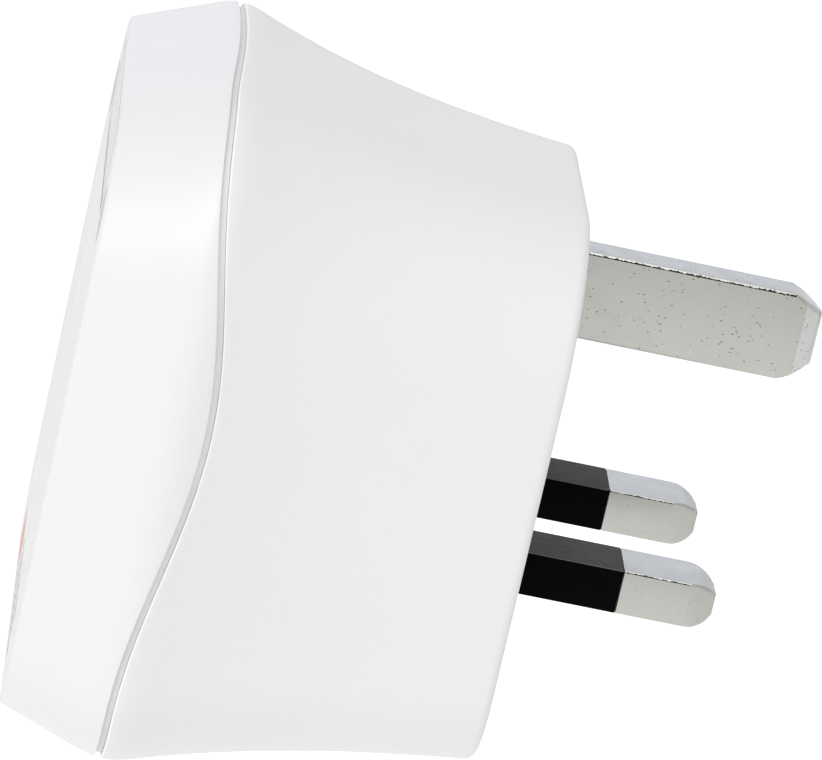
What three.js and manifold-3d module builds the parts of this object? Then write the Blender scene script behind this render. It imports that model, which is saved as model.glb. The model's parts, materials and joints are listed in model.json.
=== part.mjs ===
// A plug-in power meter for British 13 A wall sockets: a flared case in two shells with three pins on
// its back, a shuttered 13 A socket, a small display and two keys on its front, and a fuse
// drawer between the pins. Every piece is one closed solid and one named mesh.
//
// Millimetres. +Y points into the wall, +Z up, +X to the user's right. The origin lies on the
// back face, midway between the line and neutral pins. "Depth" is measured from the back face
// towards the user, so depth d lies at Y = -d.

import * as THREE from "three";
import { mergeVertices } from "three/addons/utils/BufferGeometryUtils.js";
import Module from "manifold-3d";

const wasm = await Module();
wasm.setup();

// ---- Driving dimensions ---------------------------------------------------------------------

const BODY_DEPTH = 41.5;
const CREST_DEPTH = 31.9; // where the body is widest
const WALL = 2;
const BACK_WALL = 2.2;
const FACE_INSIDE = BODY_DEPTH - WALL; // the inner side of the front face

// The outline of the body, a rounded rectangle, at its back, its crest and its front.
const BACK = { halfWidth: 23.6, top: 31.85, bottom: -16.75, topRadius: 14, bottomRadius: 8 };
const CREST = { halfWidth: 31.7, top: 37.5, bottom: -20.9, topRadius: 15.6, bottomRadius: 9 };
const FRONT = { halfWidth: 29.1, top: 34.1, bottom: -17.8, topRadius: 15.3, bottomRadius: 8.1 };
const CREST_SOFTNESS = 1.2; // how far apart the flare and the taper still blend
const BACK_EDGE_RADIUS = 0.8;
const FRONT_EDGE_RADIUS = 0.6;
const CORNER_SEGMENTS = 7;

// The seam between the two shells: a groove that swings back in the middle of each side, and a
// little in the middle of the top and the bottom. A ledge of the cover fills it to a little below
// the skin, and a tongue behind it enters the rear shell.
const SEAM_DEPTH = 32.42;
const SIDE_SWING = { by: 3.2, middle: 11.6, halfLength: 26 }; // along Z
const END_SWING = { by: 0.7, middle: -8, halfLength: 27 }; // along X
const SEAM_GAP = 0.58;
const LEDGE_INSET = 0.45; // from the outer skin to the ledge that shows in the groove
const LEDGE_CLEARANCE = 0.07; // between the ledge and the rim of the rear shell
const TONGUE_INSET = 1;
const TONGUE_REACH = 3;
const TONGUE_CLEARANCE = 0.25;

// BS 1363 pins, near the long end of the lengths it allows, and the socket's matching pattern.
const PIN_X = 11.115; // line and neutral, either side of the middle
const EARTH_RISE = 22.23;
// A pin's free end narrows by `drop` on each side over `length`; the bulge is 1 for a straight
// chamfer and 2 for a quarter of an ellipse.
const EARTH_PIN = {
  width: 4,
  height: 8,
  length: 23.2,
  overHeight: { length: 2.6, drop: 1.4, bulge: 1.15 },
  overWidth: { length: 1.5, drop: 1.1, bulge: 1.2 },
};
const POLE_PIN = {
  width: 6.35,
  height: 4,
  length: 18.2,
  overHeight: { length: 1.7, drop: 0.85, bulge: 1.4 },
  overWidth: { length: 2.4, drop: 1.5, bulge: 1.6 },
};
const SLEEVE_LENGTH = 9.65;
const SLEEVE_WALL = 0.4;
const SOCKET_Z = -8; // line and neutral entries
const SOCKET_EARTH_Z = SOCKET_Z + EARTH_RISE;
const POLE_ENTRY = { width: 7, height: 4.6 };
const EARTH_ENTRY = { width: 4.5, height: 8.6 };
const POLE_CHAMBER = { width: 7.2, height: 6.4 }; // behind the entries, round the contacts
const EARTH_CHAMBER = { width: 6.4, height: 9.6 };

// The fuse, BS 1362, and its drawer.
const FUSE_Z = 10;
const FUSE_DEPTH = 5.6;
const FUSE_LENGTH = 25.4;
const FUSE_RADIUS = 3.175;
const FUSE_CAP_LENGTH = 5.6;
const DRAWER = { halfWidth: 15.5, halfHeight: 4.8, plate: 1.6 };

// Boards, by the depth of their back and front faces.
const MAIN_BOARD = { back: 14, front: 15.6 };
const DISPLAY_BOARD = { back: FACE_INSIDE - 6, front: FACE_INSIDE - 4.8 };

// The pin carrier and the socket housing: a wide foot round the line and neutral pins, with a
// stem up to the earth pin.
const CARRIER = {
  back: 2.4,
  front: 12.4,
  foot: { halfWidth: 17.6, bottom: -4.6, top: 16.2 },
  stem: { halfWidth: 6.4, top: 29 },
};
const HOUSING = {
  back: 18,
  front: FACE_INSIDE - 2.6,
  foot: { halfWidth: 15.2, bottom: -12.6, top: -3.4 },
  stem: { halfWidth: 6.4, top: 20.4 },
};

// The display window and the keys.
const WINDOW = { halfWidth: 15.5, bottom: 25.4, top: 32, radius: 1.2, sunk: 0.02 };
const KEY = { x: 21.5, z: 26.2, radius: 2.4 };
const KEY_GAP = 0.15;

// The shutter behind the socket entries, the ramp that an earth pin pushes it down by, and the
// peg on the housing under its spring.
const SHUTTER = {
  back: FACE_INSIDE - 2.3,
  front: FACE_INSIDE - 0.5,
  foot: { halfWidth: 14.9, bottom: -10.8, top: -4.8 },
  stem: { halfWidth: 3.4, top: 9.9 },
};
const RAMP = { back: FACE_INSIDE - 6.6, halfWidth: 1.9, top: 15.4, tip: 0.6 };
const PEG = { bottom: -3.2, top: -2, halfWidth: 1 };
const SPRING_SLOT = { bottom: -3.5, top: 9.2, width: 2.6 };

// Case screws: two above, two below, driven in from the back.
const SCREW_PLACES = [
  { name: "upper_right", x: 14, z: 20.5 },
  { name: "upper_left", x: -14, z: 20.5 },
  { name: "lower_right", x: 18.5, z: -10.5 },
  { name: "lower_left", x: -18.5, z: -10.5 },
];
const SCREW_SEAT_DEPTH = 9;
const SCREW_POST_DEPTH = 16;
const SCREW_POST_RADIUS = 3.9;
const SCREW_HEAD = { radius: 2.75, height: 1.9 };
const SCREW_HEAD_GAP = 0.35;
const SCREW_LENGTH = 18;
const SCREW_RADIUS = 1.45;
const SCREW_HOLE_RADIUS = 1.6;
const BOSS_RADIUS = 3;

const FIT = 0.05; // clearance between two pieces that sit against each other
const PAST = 5; // how far a cutting shape runs past what it cuts

// ---- Materials ------------------------------------------------------------------------------

const finish = (color, roughness, metalness = 0) =>
  new THREE.MeshStandardMaterial({ color, roughness, metalness });

const MATERIAL = {
  caseBack: finish(0xeaebed, 0.62),
  caseFront: finish(0xf3f3f3, 0.35),
  nickel: finish(0xc6c3bb, 0.32, 1),
  sleeve: finish(0x1a1b1d, 0.55),
  brass: finish(0xc9a45a, 0.35, 1),
  bronze: finish(0xb98a5a, 0.35, 1),
  steel: finish(0xa8abb0, 0.35, 1),
  innerPlastic: finish(0xd9d8d2, 0.6),
  drawer: finish(0xe6e7e9, 0.55),
  ceramic: finish(0xe9e4d6, 0.5),
  board: finish(0x1f5a35, 0.5),
  chip: finish(0x1d1d20, 0.5),
  capacitorBox: finish(0xd9b23a, 0.45),
  capacitorCan: finish(0x2b2f3a, 0.4),
  varistor: finish(0x2d5fa0, 0.45),
  liquidCrystal: finish(0x9aa58c, 0.12),
  window: finish(0xc9ccc8, 0.06),
  key: finish(0xc9ccd0, 0.5),
  elastomer: finish(0xb8b8b8, 0.7),
  ribbon: finish(0xd8d8d8, 0.5),
};

// ---- Joining and cutting --------------------------------------------------------------------

function solidOf(geometry) {
  const bare = geometry.clone();
  bare.deleteAttribute("normal");
  bare.deleteAttribute("uv");
  const merged = mergeVertices(bare, 1e-4);
  return new wasm.Manifold(
    new wasm.Mesh({
      numProp: 3,
      vertProperties: new Float32Array(merged.attributes.position.array),
      triVerts: new Uint32Array(merged.index.array),
    }),
  );
}

function geometryOf(solid) {
  const mesh = solid.getMesh();
  const geometry = new THREE.BufferGeometry();
  geometry.setAttribute("position", new THREE.BufferAttribute(mesh.vertProperties, 3));
  geometry.setIndex(new THREE.BufferAttribute(mesh.triVerts, 1));
  geometry.computeVertexNormals();
  return geometry;
}

const join = (...solids) => solids.reduce((all, next) => all.add(next));
const cut = (solid, ...tools) => tools.reduce((rest, tool) => rest.subtract(tool), solid);
const common = (...solids) => solids.reduce((all, next) => all.intersect(next));

// ---- Basic solids ---------------------------------------------------------------------------

// A box from its limits along each axis.
function box([x0, x1], [y0, y1], [z0, z1]) {
  const geometry = new THREE.BoxGeometry(x1 - x0, y1 - y0, z1 - z0);
  geometry.translate((x0 + x1) / 2, (y0 + y1) / 2, (z0 + z1) / 2);
  return solidOf(geometry);
}

// A box centred on x and z, between two depths.
const block = (x, z, width, height, [depth0, depth1]) =>
  box(
    [x - width / 2, x + width / 2],
    [-depth1, -depth0],
    [z - height / 2, z + height / 2],
  );

// A round bar along Y, centred on x and z, between two depths.
function barY(x, z, radius, [depth0, depth1], segments = 20) {
  const geometry = new THREE.CylinderGeometry(radius, radius, depth1 - depth0, segments);
  geometry.translate(x, -(depth0 + depth1) / 2, z);
  return solidOf(geometry);
}

// A round bar along X, centred on y and z.
function barX(y, z, radius, [x0, x1], segments = 20) {
  const geometry = new THREE.CylinderGeometry(radius, radius, x1 - x0, segments);
  geometry.rotateZ(Math.PI / 2);
  geometry.translate((x0 + x1) / 2, y, z);
  return solidOf(geometry);
}

function extrude(points, length) {
  const shape = new THREE.Shape(points.map(([u, v]) => new THREE.Vector2(u, v)));
  return new THREE.ExtrudeGeometry(shape, { depth: length, bevelEnabled: false });
}

// An outline in X and Z, swept between two depths, less any holes.
function plate(points, [depth0, depth1], holes = []) {
  const geometry = extrude(points, depth1 - depth0);
  geometry.rotateX(Math.PI / 2);
  geometry.translate(0, -depth0, 0);
  const through = [depth0 - PAST, depth1 + PAST];
  return cut(solidOf(geometry), ...holes.map((hole) => plate(hole, through)));
}

// An outline in Y and Z, swept along X.
function sweepX(points, [x0, x1]) {
  const geometry = extrude(points, x1 - x0);
  const turn = new THREE.Matrix4().makeBasis(
    new THREE.Vector3(0, 1, 0),
    new THREE.Vector3(0, 0, 1),
    new THREE.Vector3(1, 0, 0),
  );
  geometry.applyMatrix4(turn);
  geometry.translate(x0, 0, 0);
  return solidOf(geometry);
}

// An outline in X and Y, swept along Z.
function sweepZ(points, [z0, z1]) {
  const geometry = extrude(points, z1 - z0);
  geometry.translate(0, 0, z0);
  return solidOf(geometry);
}

const rectangle = (x, z, width, height) => [
  [x - width / 2, z - height / 2],
  [x + width / 2, z - height / 2],
  [x + width / 2, z + height / 2],
  [x - width / 2, z + height / 2],
];

// A wide foot with a narrower stem standing on it.
const footAndStem = ({ foot, stem }) => [
  [-foot.halfWidth, foot.bottom],
  [foot.halfWidth, foot.bottom],
  [foot.halfWidth, foot.top],
  [stem.halfWidth, foot.top],
  [stem.halfWidth, stem.top],
  [-stem.halfWidth, stem.top],
  [-stem.halfWidth, foot.top],
  [-foot.halfWidth, foot.top],
];

// A rectangle whose four corners are arcs.
function roundedOutline(halfWidth, bottom, top, bottomRadius, topRadius, segments) {
  const corners = [
    [halfWidth - bottomRadius, bottom + bottomRadius, bottomRadius, -90],
    [halfWidth - topRadius, top - topRadius, topRadius, 0],
    [topRadius - halfWidth, top - topRadius, topRadius, 90],
    [bottomRadius - halfWidth, bottom + bottomRadius, bottomRadius, 180],
  ];
  return corners.flatMap(([x, z, radius, start]) =>
    Array.from({ length: segments + 1 }, (_, i) => {
      const angle = THREE.MathUtils.degToRad(start + (90 * i) / segments);
      return [x + radius * Math.cos(angle), z + radius * Math.sin(angle)];
    }),
  );
}

// The outline of a flat strip of metal bent along a line of points.
function bentStrip(line, thickness) {
  const side = (sign) =>
    line.map(([u, v], i) => {
      const before = line[Math.max(i - 1, 0)];
      const after = line[Math.min(i + 1, line.length - 1)];
      const into = new THREE.Vector2(u - before[0], v - before[1]).normalize();
      const out = new THREE.Vector2(after[0] - u, after[1] - v).normalize();
      const along = into.clone().add(out).normalize();
      const leg = i === 0 ? out : into;
      const reach = ((sign * thickness) / 2) / Math.max(along.dot(leg), 0.3);
      return [u - along.y * reach, v + along.x * reach];
    });
  return [...side(1), ...side(-1).reverse()];
}

// ---- The body's outer form ------------------------------------------------------------------

// The lower of two values, with the corner between them rounded off.
function softMinimum(a, b, softness) {
  const near = Math.max(softness - Math.abs(a - b), 0) / softness;
  return Math.min(a, b) - (near * near * softness) / 4;
}

// How far a side of the body stands out at a depth: the flare from the back, which curves
// outwards, meets the straight taper to the front at a soft crest.
function reach(depth, back, crest, front, straightShare, power) {
  const t = depth / CREST_DEPTH;
  const flare = back + (crest - back) * (straightShare * t + (1 - straightShare) * t ** power);
  const toFront = (depth - CREST_DEPTH) / (BODY_DEPTH - CREST_DEPTH);
  const taper = crest + (front - crest) * toFront;
  return softMinimum(flare, taper, CREST_SOFTNESS);
}

function outlineAt(depth, inset) {
  const side = (key, ...curve) =>
    reach(depth, ...[BACK, CREST, FRONT].map((outline) => Math.abs(outline[key])), ...curve);
  const halfWidth = side("halfWidth", 0.45, 2.6) - inset;
  const top = side("top", 0.46, 2.6) - inset;
  const bottom = -side("bottom", 0.65, 2) + inset;
  const topRadius = side("topRadius", 1, 1) - inset;
  const bottomRadius = side("bottomRadius", 1, 1) - inset;
  return roundedOutline(halfWidth, bottom, top, bottomRadius, topRadius, CORNER_SEGMENTS);
}

// A closed skin over outlines that all have the same number of points.
function loft(rings) {
  const count = rings[0].length;
  const positions = rings.flat(2);
  const index = [];
  for (let r = 0; r + 1 < rings.length; r += 1) {
    for (let i = 0; i < count; i += 1) {
      const next = (i + 1) % count;
      const a = r * count + i;
      const b = r * count + next;
      const c = a + count;
      const d = b + count;
      index.push(a, b, c, b, d, c);
    }
  }
  for (let i = 1; i + 1 < count; i += 1) {
    const last = (rings.length - 1) * count;
    index.push(0, i + 1, i);
    index.push(last, last + i, last + i + 1);
  }
  const geometry = new THREE.BufferGeometry();
  geometry.setAttribute("position", new THREE.Float32BufferAttribute(positions, 3));
  geometry.setIndex(index);
  return solidOf(geometry);
}

const FORM_DEPTHS = [6, 12, 17, 21, 24.5, 27.5, 29.8, 31.2, 32, 32.8, 34.5];

// The body's form, shrunk by an inset, between two depths. Rounded ends have the case's own
// edge radii, each drawn as three steps of a quarter circle.
function bodyForm(inset, backDepth, frontDepth, rounded = false) {
  const stations = [];
  const steps = 3;
  const edge = (radius, i) => {
    const angle = (Math.PI / 2) * (i / steps);
    return { along: radius * (1 - Math.sin(angle)), inwards: radius * (1 - Math.cos(angle)) };
  };
  for (let i = steps; rounded && i > 0; i -= 1) {
    const { along, inwards } = edge(BACK_EDGE_RADIUS, i);
    stations.push([backDepth + along, inset + inwards]);
  }
  const start = backDepth + (rounded ? BACK_EDGE_RADIUS : 0);
  const end = frontDepth - (rounded ? FRONT_EDGE_RADIUS : 0);
  stations.push([start, inset]);
  FORM_DEPTHS.filter((d) => d > start + 1 && d < end - 1).forEach((d) => stations.push([d, inset]));
  stations.push([end, inset]);
  for (let i = 1; rounded && i <= steps; i += 1) {
    const { along, inwards } = edge(FRONT_EDGE_RADIUS, i);
    stations.push([frontDepth - along, inset + inwards]);
  }
  return loft(stations.map(([depth, by]) => outlineAt(depth, by).map(([x, z]) => [x, -depth, z])));
}

// How far the seam swings back at a place along a side or an end: a smooth hump.
function swing({ by, middle, halfLength }, place) {
  const share = Math.min(Math.abs(place - middle) / halfLength, 1);
  return by * Math.cos((Math.PI / 2) * share) ** 2;
}

const seamY = (x, z) => swing(SIDE_SWING, z) + swing(END_SWING, x) - SEAM_DEPTH;

// Places along one axis for a mesh of the seam, close together where it swings.
function seamPlaces({ middle, halfLength }, samples, end) {
  const inner = Array.from({ length: samples + 1 }, (_, i) => {
    return middle - halfLength + (2 * halfLength * i) / samples;
  });
  return [-end, ...inner, end];
}

// Everything on the wall's side (+1) or the user's side (-1) of the seam, moved by an offset.
function beyondSeam(side, offset) {
  const end = 60;
  const heights = seamPlaces(SIDE_SWING, 22, end);
  const sections = seamPlaces(END_SWING, 8, end).map((x) => {
    const line = heights.map((z) => [x, seamY(x, z) + offset, z]);
    const bottom = [x, side * end, -end];
    const top = [x, side * end, end];
    return side > 0 ? [bottom, top, ...line.reverse()] : [bottom, ...line, top];
  });
  return loft(sections);
}

const outerForm = bodyForm(0, 0, BODY_DEPTH, true);
const innerForm = bodyForm(WALL, BACK_WALL, FACE_INSIDE);

// ---- Case -----------------------------------------------------------------------------------

const throughBack = [-PAST, BACK_WALL + PAST];
const throughFront = [FACE_INSIDE - PAST, BODY_DEPTH + PAST];

function rearShell() {
  const skin = common(cut(outerForm, innerForm), beyondSeam(1, SEAM_GAP / 2));
  const rebateInset = TONGUE_INSET - 0.2;
  const rebate = common(
    bodyForm(rebateInset, BACK_WALL, FACE_INSIDE),
    beyondSeam(-1, TONGUE_REACH + TONGUE_CLEARANCE),
  );
  const posts = SCREW_PLACES.map(({ x, z }) =>
    barY(x, z, SCREW_POST_RADIUS, [BACK_WALL / 2, SCREW_POST_DEPTH]),
  );
  const counterbores = SCREW_PLACES.map(({ x, z }) =>
    barY(x, z, SCREW_HEAD.radius + SCREW_HEAD_GAP, [-PAST, SCREW_SEAT_DEPTH]),
  );
  const screwHoles = SCREW_PLACES.map(({ x, z }) =>
    barY(x, z, SCREW_HOLE_RADIUS, [SCREW_SEAT_DEPTH - 1, SCREW_POST_DEPTH + PAST]),
  );
  const slack = 2 * FIT;
  const pinHoles = [
    block(0, EARTH_RISE, EARTH_PIN.width + slack, EARTH_PIN.height + slack, throughBack),
    block(PIN_X, 0, POLE_PIN.width + slack, POLE_PIN.height + slack, throughBack),
    block(-PIN_X, 0, POLE_PIN.width + slack, POLE_PIN.height + slack, throughBack),
  ];
  const drawerGap = 0.4;
  const drawerHole = block(
    0,
    FUSE_Z,
    2 * DRAWER.halfWidth + drawerGap,
    2 * DRAWER.halfHeight + drawerGap,
    throughBack,
  );
  const body = join(cut(skin, rebate), ...posts);
  return cut(body, ...counterbores, ...screwHoles, ...pinHoles, drawerHole);
}

function frontCover() {
  const skin = common(cut(outerForm, innerForm), beyondSeam(-1, -SEAM_GAP / 2));
  const rootedInWall = -1.5;
  const lip = (inset, reachPastSeam) =>
    common(
      cut(bodyForm(inset, BACK_WALL, BODY_DEPTH - WALL / 2), innerForm),
      beyondSeam(1, rootedInWall),
      beyondSeam(-1, reachPastSeam),
    );
  const ledge = lip(LEDGE_INSET, SEAM_GAP / 2 - LEDGE_CLEARANCE);
  const tongue = lip(TONGUE_INSET, TONGUE_REACH);
  const bosses = SCREW_PLACES.map(({ x, z }) =>
    barY(x, z, BOSS_RADIUS, [SCREW_POST_DEPTH + 0.3, BODY_DEPTH - WALL / 2]),
  );
  const pilots = SCREW_PLACES.map(({ x, z }) =>
    barY(x, z, SCREW_HOLE_RADIUS, [SCREW_POST_DEPTH - 1, SCREW_SEAT_DEPTH + SCREW_LENGTH + 1]),
  );
  const windowHole = plate(windowOutline(0.1), throughFront);
  const keyHoles = [-1, 1].map((side) =>
    barY(side * KEY.x, KEY.z, KEY.radius + KEY_GAP, throughFront, 24),
  );
  const entries = [
    block(0, SOCKET_EARTH_Z, EARTH_ENTRY.width, EARTH_ENTRY.height, throughFront),
    block(PIN_X, SOCKET_Z, POLE_ENTRY.width, POLE_ENTRY.height, throughFront),
    block(-PIN_X, SOCKET_Z, POLE_ENTRY.width, POLE_ENTRY.height, throughFront),
  ];
  const body = join(skin, ledge, tongue, ...bosses);
  return cut(body, ...pilots, windowHole, ...keyHoles, ...entries);
}

// A case screw: pan head with a cross recess, and a plain shank.
function caseScrew({ x, z }) {
  const headTop = SCREW_SEAT_DEPTH - SCREW_HEAD.height;
  const head = barY(x, z, SCREW_HEAD.radius, [headTop, SCREW_SEAT_DEPTH - FIT], 24);
  const shankEnd = SCREW_SEAT_DEPTH + SCREW_LENGTH;
  const shank = barY(x, z, SCREW_RADIUS, [SCREW_SEAT_DEPTH - 1, shankEnd], 12);
  return cut(join(head, shank), ...crossRecess(x, z, 3.2, [headTop - 1, headTop + 1.1]));
}

function crossRecess(x, z, span, depths) {
  const arm = 0.75;
  return [block(x, z, span, arm, depths), block(x, z, arm, span, depths)];
}

// ---- Pins -----------------------------------------------------------------------------------

// The free end of a pin: a block whose end narrows on all four sides.
function pinBlade(x, z, pin, fromY) {
  const steps = 3;
  const across = (half, { length, drop, bulge }) => {
    const edge = Array.from({ length: steps + 1 }, (_, i) => {
      const angle = (Math.PI / 2) * (i / steps);
      const along = Math.sin(angle) ** (2 / bulge);
      const inwards = 1 - Math.max(Math.cos(angle), 0) ** (2 / bulge);
      return [pin.length - length * (1 - along), half - drop * inwards];
    });
    const below = edge.map(([y, v]) => [y, -v]);
    return [[fromY, -half], ...below, ...edge.reverse(), [fromY, half]];
  };
  const seenFromSide = across(pin.height / 2, pin.overHeight).map(([y, v]) => [y, z + v]);
  const seenFromAbove = across(pin.width / 2, pin.overWidth).map(([y, v]) => [x - v, y]);
  return common(
    sweepX(seenFromSide, [x - pin.width, x + pin.width]),
    sweepZ(seenFromAbove, [z - pin.height, z + pin.height]),
  );
}

const PIN_PAST_CARRIER = 0.2;

const pinFlange = (x, z, pin) =>
  block(x, z, pin.width + 2, pin.height + 2, [CARRIER.back + FIT, CARRIER.back + 2]);

function earthPin() {
  const blade = pinBlade(0, EARTH_RISE, EARTH_PIN, -CARRIER.front - PIN_PAST_CARRIER);
  return join(blade, pinFlange(0, EARTH_RISE, EARTH_PIN));
}

// A line or neutral pin, necked down where its sleeve sits.
function polePin(x, innerDepth) {
  const blade = pinBlade(x, 0, POLE_PIN, SLEEVE_LENGTH + FIT);
  const neck = block(
    x,
    0,
    POLE_PIN.width - 2 * (SLEEVE_WALL + FIT),
    POLE_PIN.height - 2 * (SLEEVE_WALL + FIT),
    [-SLEEVE_LENGTH - 1, CARRIER.back + 1],
  );
  const shank = block(x, 0, POLE_PIN.width, POLE_PIN.height, [CARRIER.back + 1, innerDepth]);
  return join(blade, neck, shank, pinFlange(x, 0, POLE_PIN));
}

function pinSleeve(x) {
  const depths = [-SLEEVE_LENGTH, BACK_WALL];
  const { width, height } = POLE_PIN;
  const wall = 2 * SLEEVE_WALL;
  return cut(
    block(x, 0, width, height, depths),
    block(x, 0, width - wall, height - wall, [-SLEEVE_LENGTH - PAST, BACK_WALL + PAST]),
  );
}

// The moulded block inside the back wall that holds the pins and forms the fuse bay.
function pinCarrier() {
  const depths = [CARRIER.back, CARRIER.front];
  const through = [CARRIER.back - PAST, CARRIER.front + PAST];
  const flangeRecess = [CARRIER.back - PAST, CARRIER.back + 2.2];
  const bay = block(0, FUSE_Z, BAY.width, BAY.height, [CARRIER.back - PAST, BAY.floor]);
  const clipSlots = [-1, 1].map((side) =>
    block(side * CLIP.x, FUSE_Z, CLIP.width + 0.4, 2 * CLIP.tail + 0.5, through),
  );
  const pins = [
    [0, EARTH_RISE, EARTH_PIN],
    [PIN_X, 0, POLE_PIN],
    [-PIN_X, 0, POLE_PIN],
  ].flatMap(([x, z, pin]) => [
    block(x, z, pin.width + 0.2, pin.height + 0.2, through),
    block(x, z, pin.width + 2.4, pin.height + 2.4, flangeRecess),
  ]);
  const pilots = BOARD_SCREW_X.map((x) =>
    barY(x, BOARD_SCREW_Z, BOARD_SCREW_HOLE_RADIUS, [CARRIER.front - 5, CARRIER.front + 1], 12),
  );
  return cut(plate(footAndStem(CARRIER), depths), bay, ...clipSlots, ...pins, ...pilots);
}

// ---- Fuse -----------------------------------------------------------------------------------

const CLIP = { x: 9.9, width: 5, inner: 3.25, outer: 3.7, tail: 0.25 };
const BAY = { width: 31.8, height: 10.2, floor: 10.6 }; // the carrier's pocket round the fuse

// The drawer: a plate flush with the back face, two rails, two end walls and a strap that
// carries the fuse when it is pulled out.
function fuseDrawer() {
  const railOuter = 4.7;
  const railInner = 3.95;
  const endX = 14.6;
  const endWall = 1.5;
  const strapWall = 0.8;
  const deepest = 9.9;
  const railDepths = [DRAWER.plate - 0.2, deepest];
  const face = block(0, FUSE_Z, 2 * DRAWER.halfWidth, 2 * DRAWER.halfHeight, [0, DRAWER.plate]);
  const rails = [-1, 1].map((side) => {
    const middle = FUSE_Z + (side * (railOuter + railInner)) / 2;
    return block(0, middle, 2 * endX, railOuter - railInner, railDepths);
  });
  const ends = [-1, 1].map((side) =>
    block(side * (endX - endWall / 2), FUSE_Z, endWall, 2 * railOuter, railDepths),
  );
  const strap = block(0, FUSE_Z, 8, 2 * railOuter, [deepest - strapWall, deepest]);
  const pryNotch = block(0, FUSE_Z - DRAWER.halfHeight + 0.7, 7, 1.6, [-1, 0.9]);
  return cut(join(face, ...rails, ...ends, strap), pryNotch);
}

function fuseCap(side) {
  const end = (side * FUSE_LENGTH) / 2;
  const start = end - side * FUSE_CAP_LENGTH;
  return barX(-FUSE_DEPTH, FUSE_Z, FUSE_RADIUS, [Math.min(start, end), Math.max(start, end)]);
}

function fuseTube() {
  const half = FUSE_LENGTH / 2 - FUSE_CAP_LENGTH - FIT;
  return barX(-FUSE_DEPTH, FUSE_Z, FUSE_RADIUS - 0.25, [-half, half]);
}

// A spring clip that is open towards the wall, with a tail through the carrier's floor.
function fuseClip(side, tailDepth) {
  const mouth = -3.4;
  const seat = -9.5;
  const base = -9.95;
  const half = [
    [mouth, CLIP.outer],
    [mouth, CLIP.inner],
    [seat, CLIP.inner],
  ];
  const mirrored = half.map(([y, v]) => [y, -v]).reverse();
  const outline = [
    ...half,
    ...mirrored,
    [base, -CLIP.outer],
    [base, -CLIP.tail],
    [-tailDepth, -CLIP.tail],
    [-tailDepth, CLIP.tail],
    [base, CLIP.tail],
    [base, CLIP.outer],
  ].map(([y, v]) => [y, FUSE_Z + v]);
  const x = side * CLIP.x;
  return sweepX(outline, [x - CLIP.width / 2, x + CLIP.width / 2]);
}

// Flat copper straps between the carrier and the main board.
const strapDepths = [CARRIER.front + 0.25, CARRIER.front + 0.75];
const lineStrap = () => block(PIN_X - 0.5, (FUSE_Z + 0.6) / 2, 4.6, FUSE_Z + 3, strapDepths);
const earthStrap = () =>
  block(0, (EARTH_RISE + SOCKET_EARTH_Z) / 2, 3.6, EARTH_RISE - SOCKET_EARTH_Z + 5, strapDepths);

// ---- Main board and what stands on it -------------------------------------------------------

const BOARD_SCREW_X = [4.6, -4.6];
const BOARD_SCREW_Z = -1.5;
const BOARD_SCREW_HOLE_RADIUS = 1.15;
const ON_BOARD = MAIN_BOARD.front + FIT;

function mainBoard() {
  const outline = [
    [-13.9, -12],
    [13.9, -12],
    [13.9, -5.9],
    [22.6, -5.9],
    [22.6, 20],
    [20, 25],
    [15, 29],
    [-15, 29],
    [-20, 25],
    [-22.6, 20],
    [-22.6, -5.9],
    [-13.9, -5.9],
  ];
  const through = [MAIN_BOARD.back - 1, MAIN_BOARD.front + 1];
  const postHoles = SCREW_PLACES.filter(({ z }) => z > 0).map(({ x, z }) =>
    barY(x, z, SCREW_POST_RADIUS + 0.3, through),
  );
  const screwHoles = BOARD_SCREW_X.map((x) =>
    barY(x, BOARD_SCREW_Z, BOARD_SCREW_HOLE_RADIUS, through, 12),
  );
  const earthSlot = block(0, SOCKET_EARTH_Z, 1.2, 5.4, through);
  return cut(
    plate(outline, [MAIN_BOARD.back, MAIN_BOARD.front]),
    ...postHoles,
    ...screwHoles,
    earthSlot,
  );
}

function boardScrew(x) {
  const headTop = ON_BOARD + 1.3;
  const head = barY(x, BOARD_SCREW_Z, 2, [ON_BOARD, headTop], 16);
  const shank = barY(x, BOARD_SCREW_Z, 1, [CARRIER.front - 4, ON_BOARD + 0.5], 12);
  const recess = crossRecess(x, BOARD_SCREW_Z, 2.4, [headTop - 0.7, headTop + 1]);
  return cut(join(head, shank), ...recess);
}

// The box-shaped capacitor across the mains.
const mainsCapacitor = () => box([8, 23.2], [-28.5, -ON_BOARD], [8.2, 15.4]);

// An electrolytic can, a little narrower at its rubber foot.
function storageCapacitor() {
  const x = -16.2;
  const z = 10.6;
  const radius = 5;
  const footTop = ON_BOARD + 1;
  const can = barY(x, z, radius, [footTop, 31.7], 28);
  const foot = barY(x, z, radius - 0.3, [ON_BOARD, footTop], 28);
  return join(can, foot);
}

// A coated disc that stands on two wire legs, edge to the board.
function varistor() {
  const x = 20;
  const z = 0.4;
  const radius = 4.4;
  const thickness = 3.6;
  const discDepth = 22;
  const legSpread = 2.5;
  const legRadius = 0.4;
  const disc = new THREE.CylinderGeometry(radius, radius, thickness, 24);
  disc.rotateX(Math.PI / 2);
  disc.translate(x, -discDepth, z);
  const legs = [-legSpread, legSpread].map((dx) =>
    barY(x + dx, z, legRadius, [ON_BOARD, discDepth], 8),
  );
  return join(solidOf(disc), ...legs);
}

// The current shunt: a bridge of resistance strip that stands on the board.
function shuntStrip() {
  const leg0 = 16.6;
  const leg1 = 22;
  const top = -20.4;
  const line = [
    [leg0, -ON_BOARD],
    [leg0, top],
    [leg1, top],
    [leg1, -ON_BOARD],
  ];
  return sweepZ(bentStrip(line, 0.7), [-5.4, -2.8]);
}

const meteringChip = () => block(0, 8, 10, 6, [ON_BOARD, ON_BOARD + 1.65]);

const CELL = { x0: -23.2, x1: -17.8, depth: 23, z: -1.1, radius: 5.8 };
const backupCell = () => barX(-CELL.depth, CELL.z, CELL.radius, [CELL.x0, CELL.x1], 28);

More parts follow.
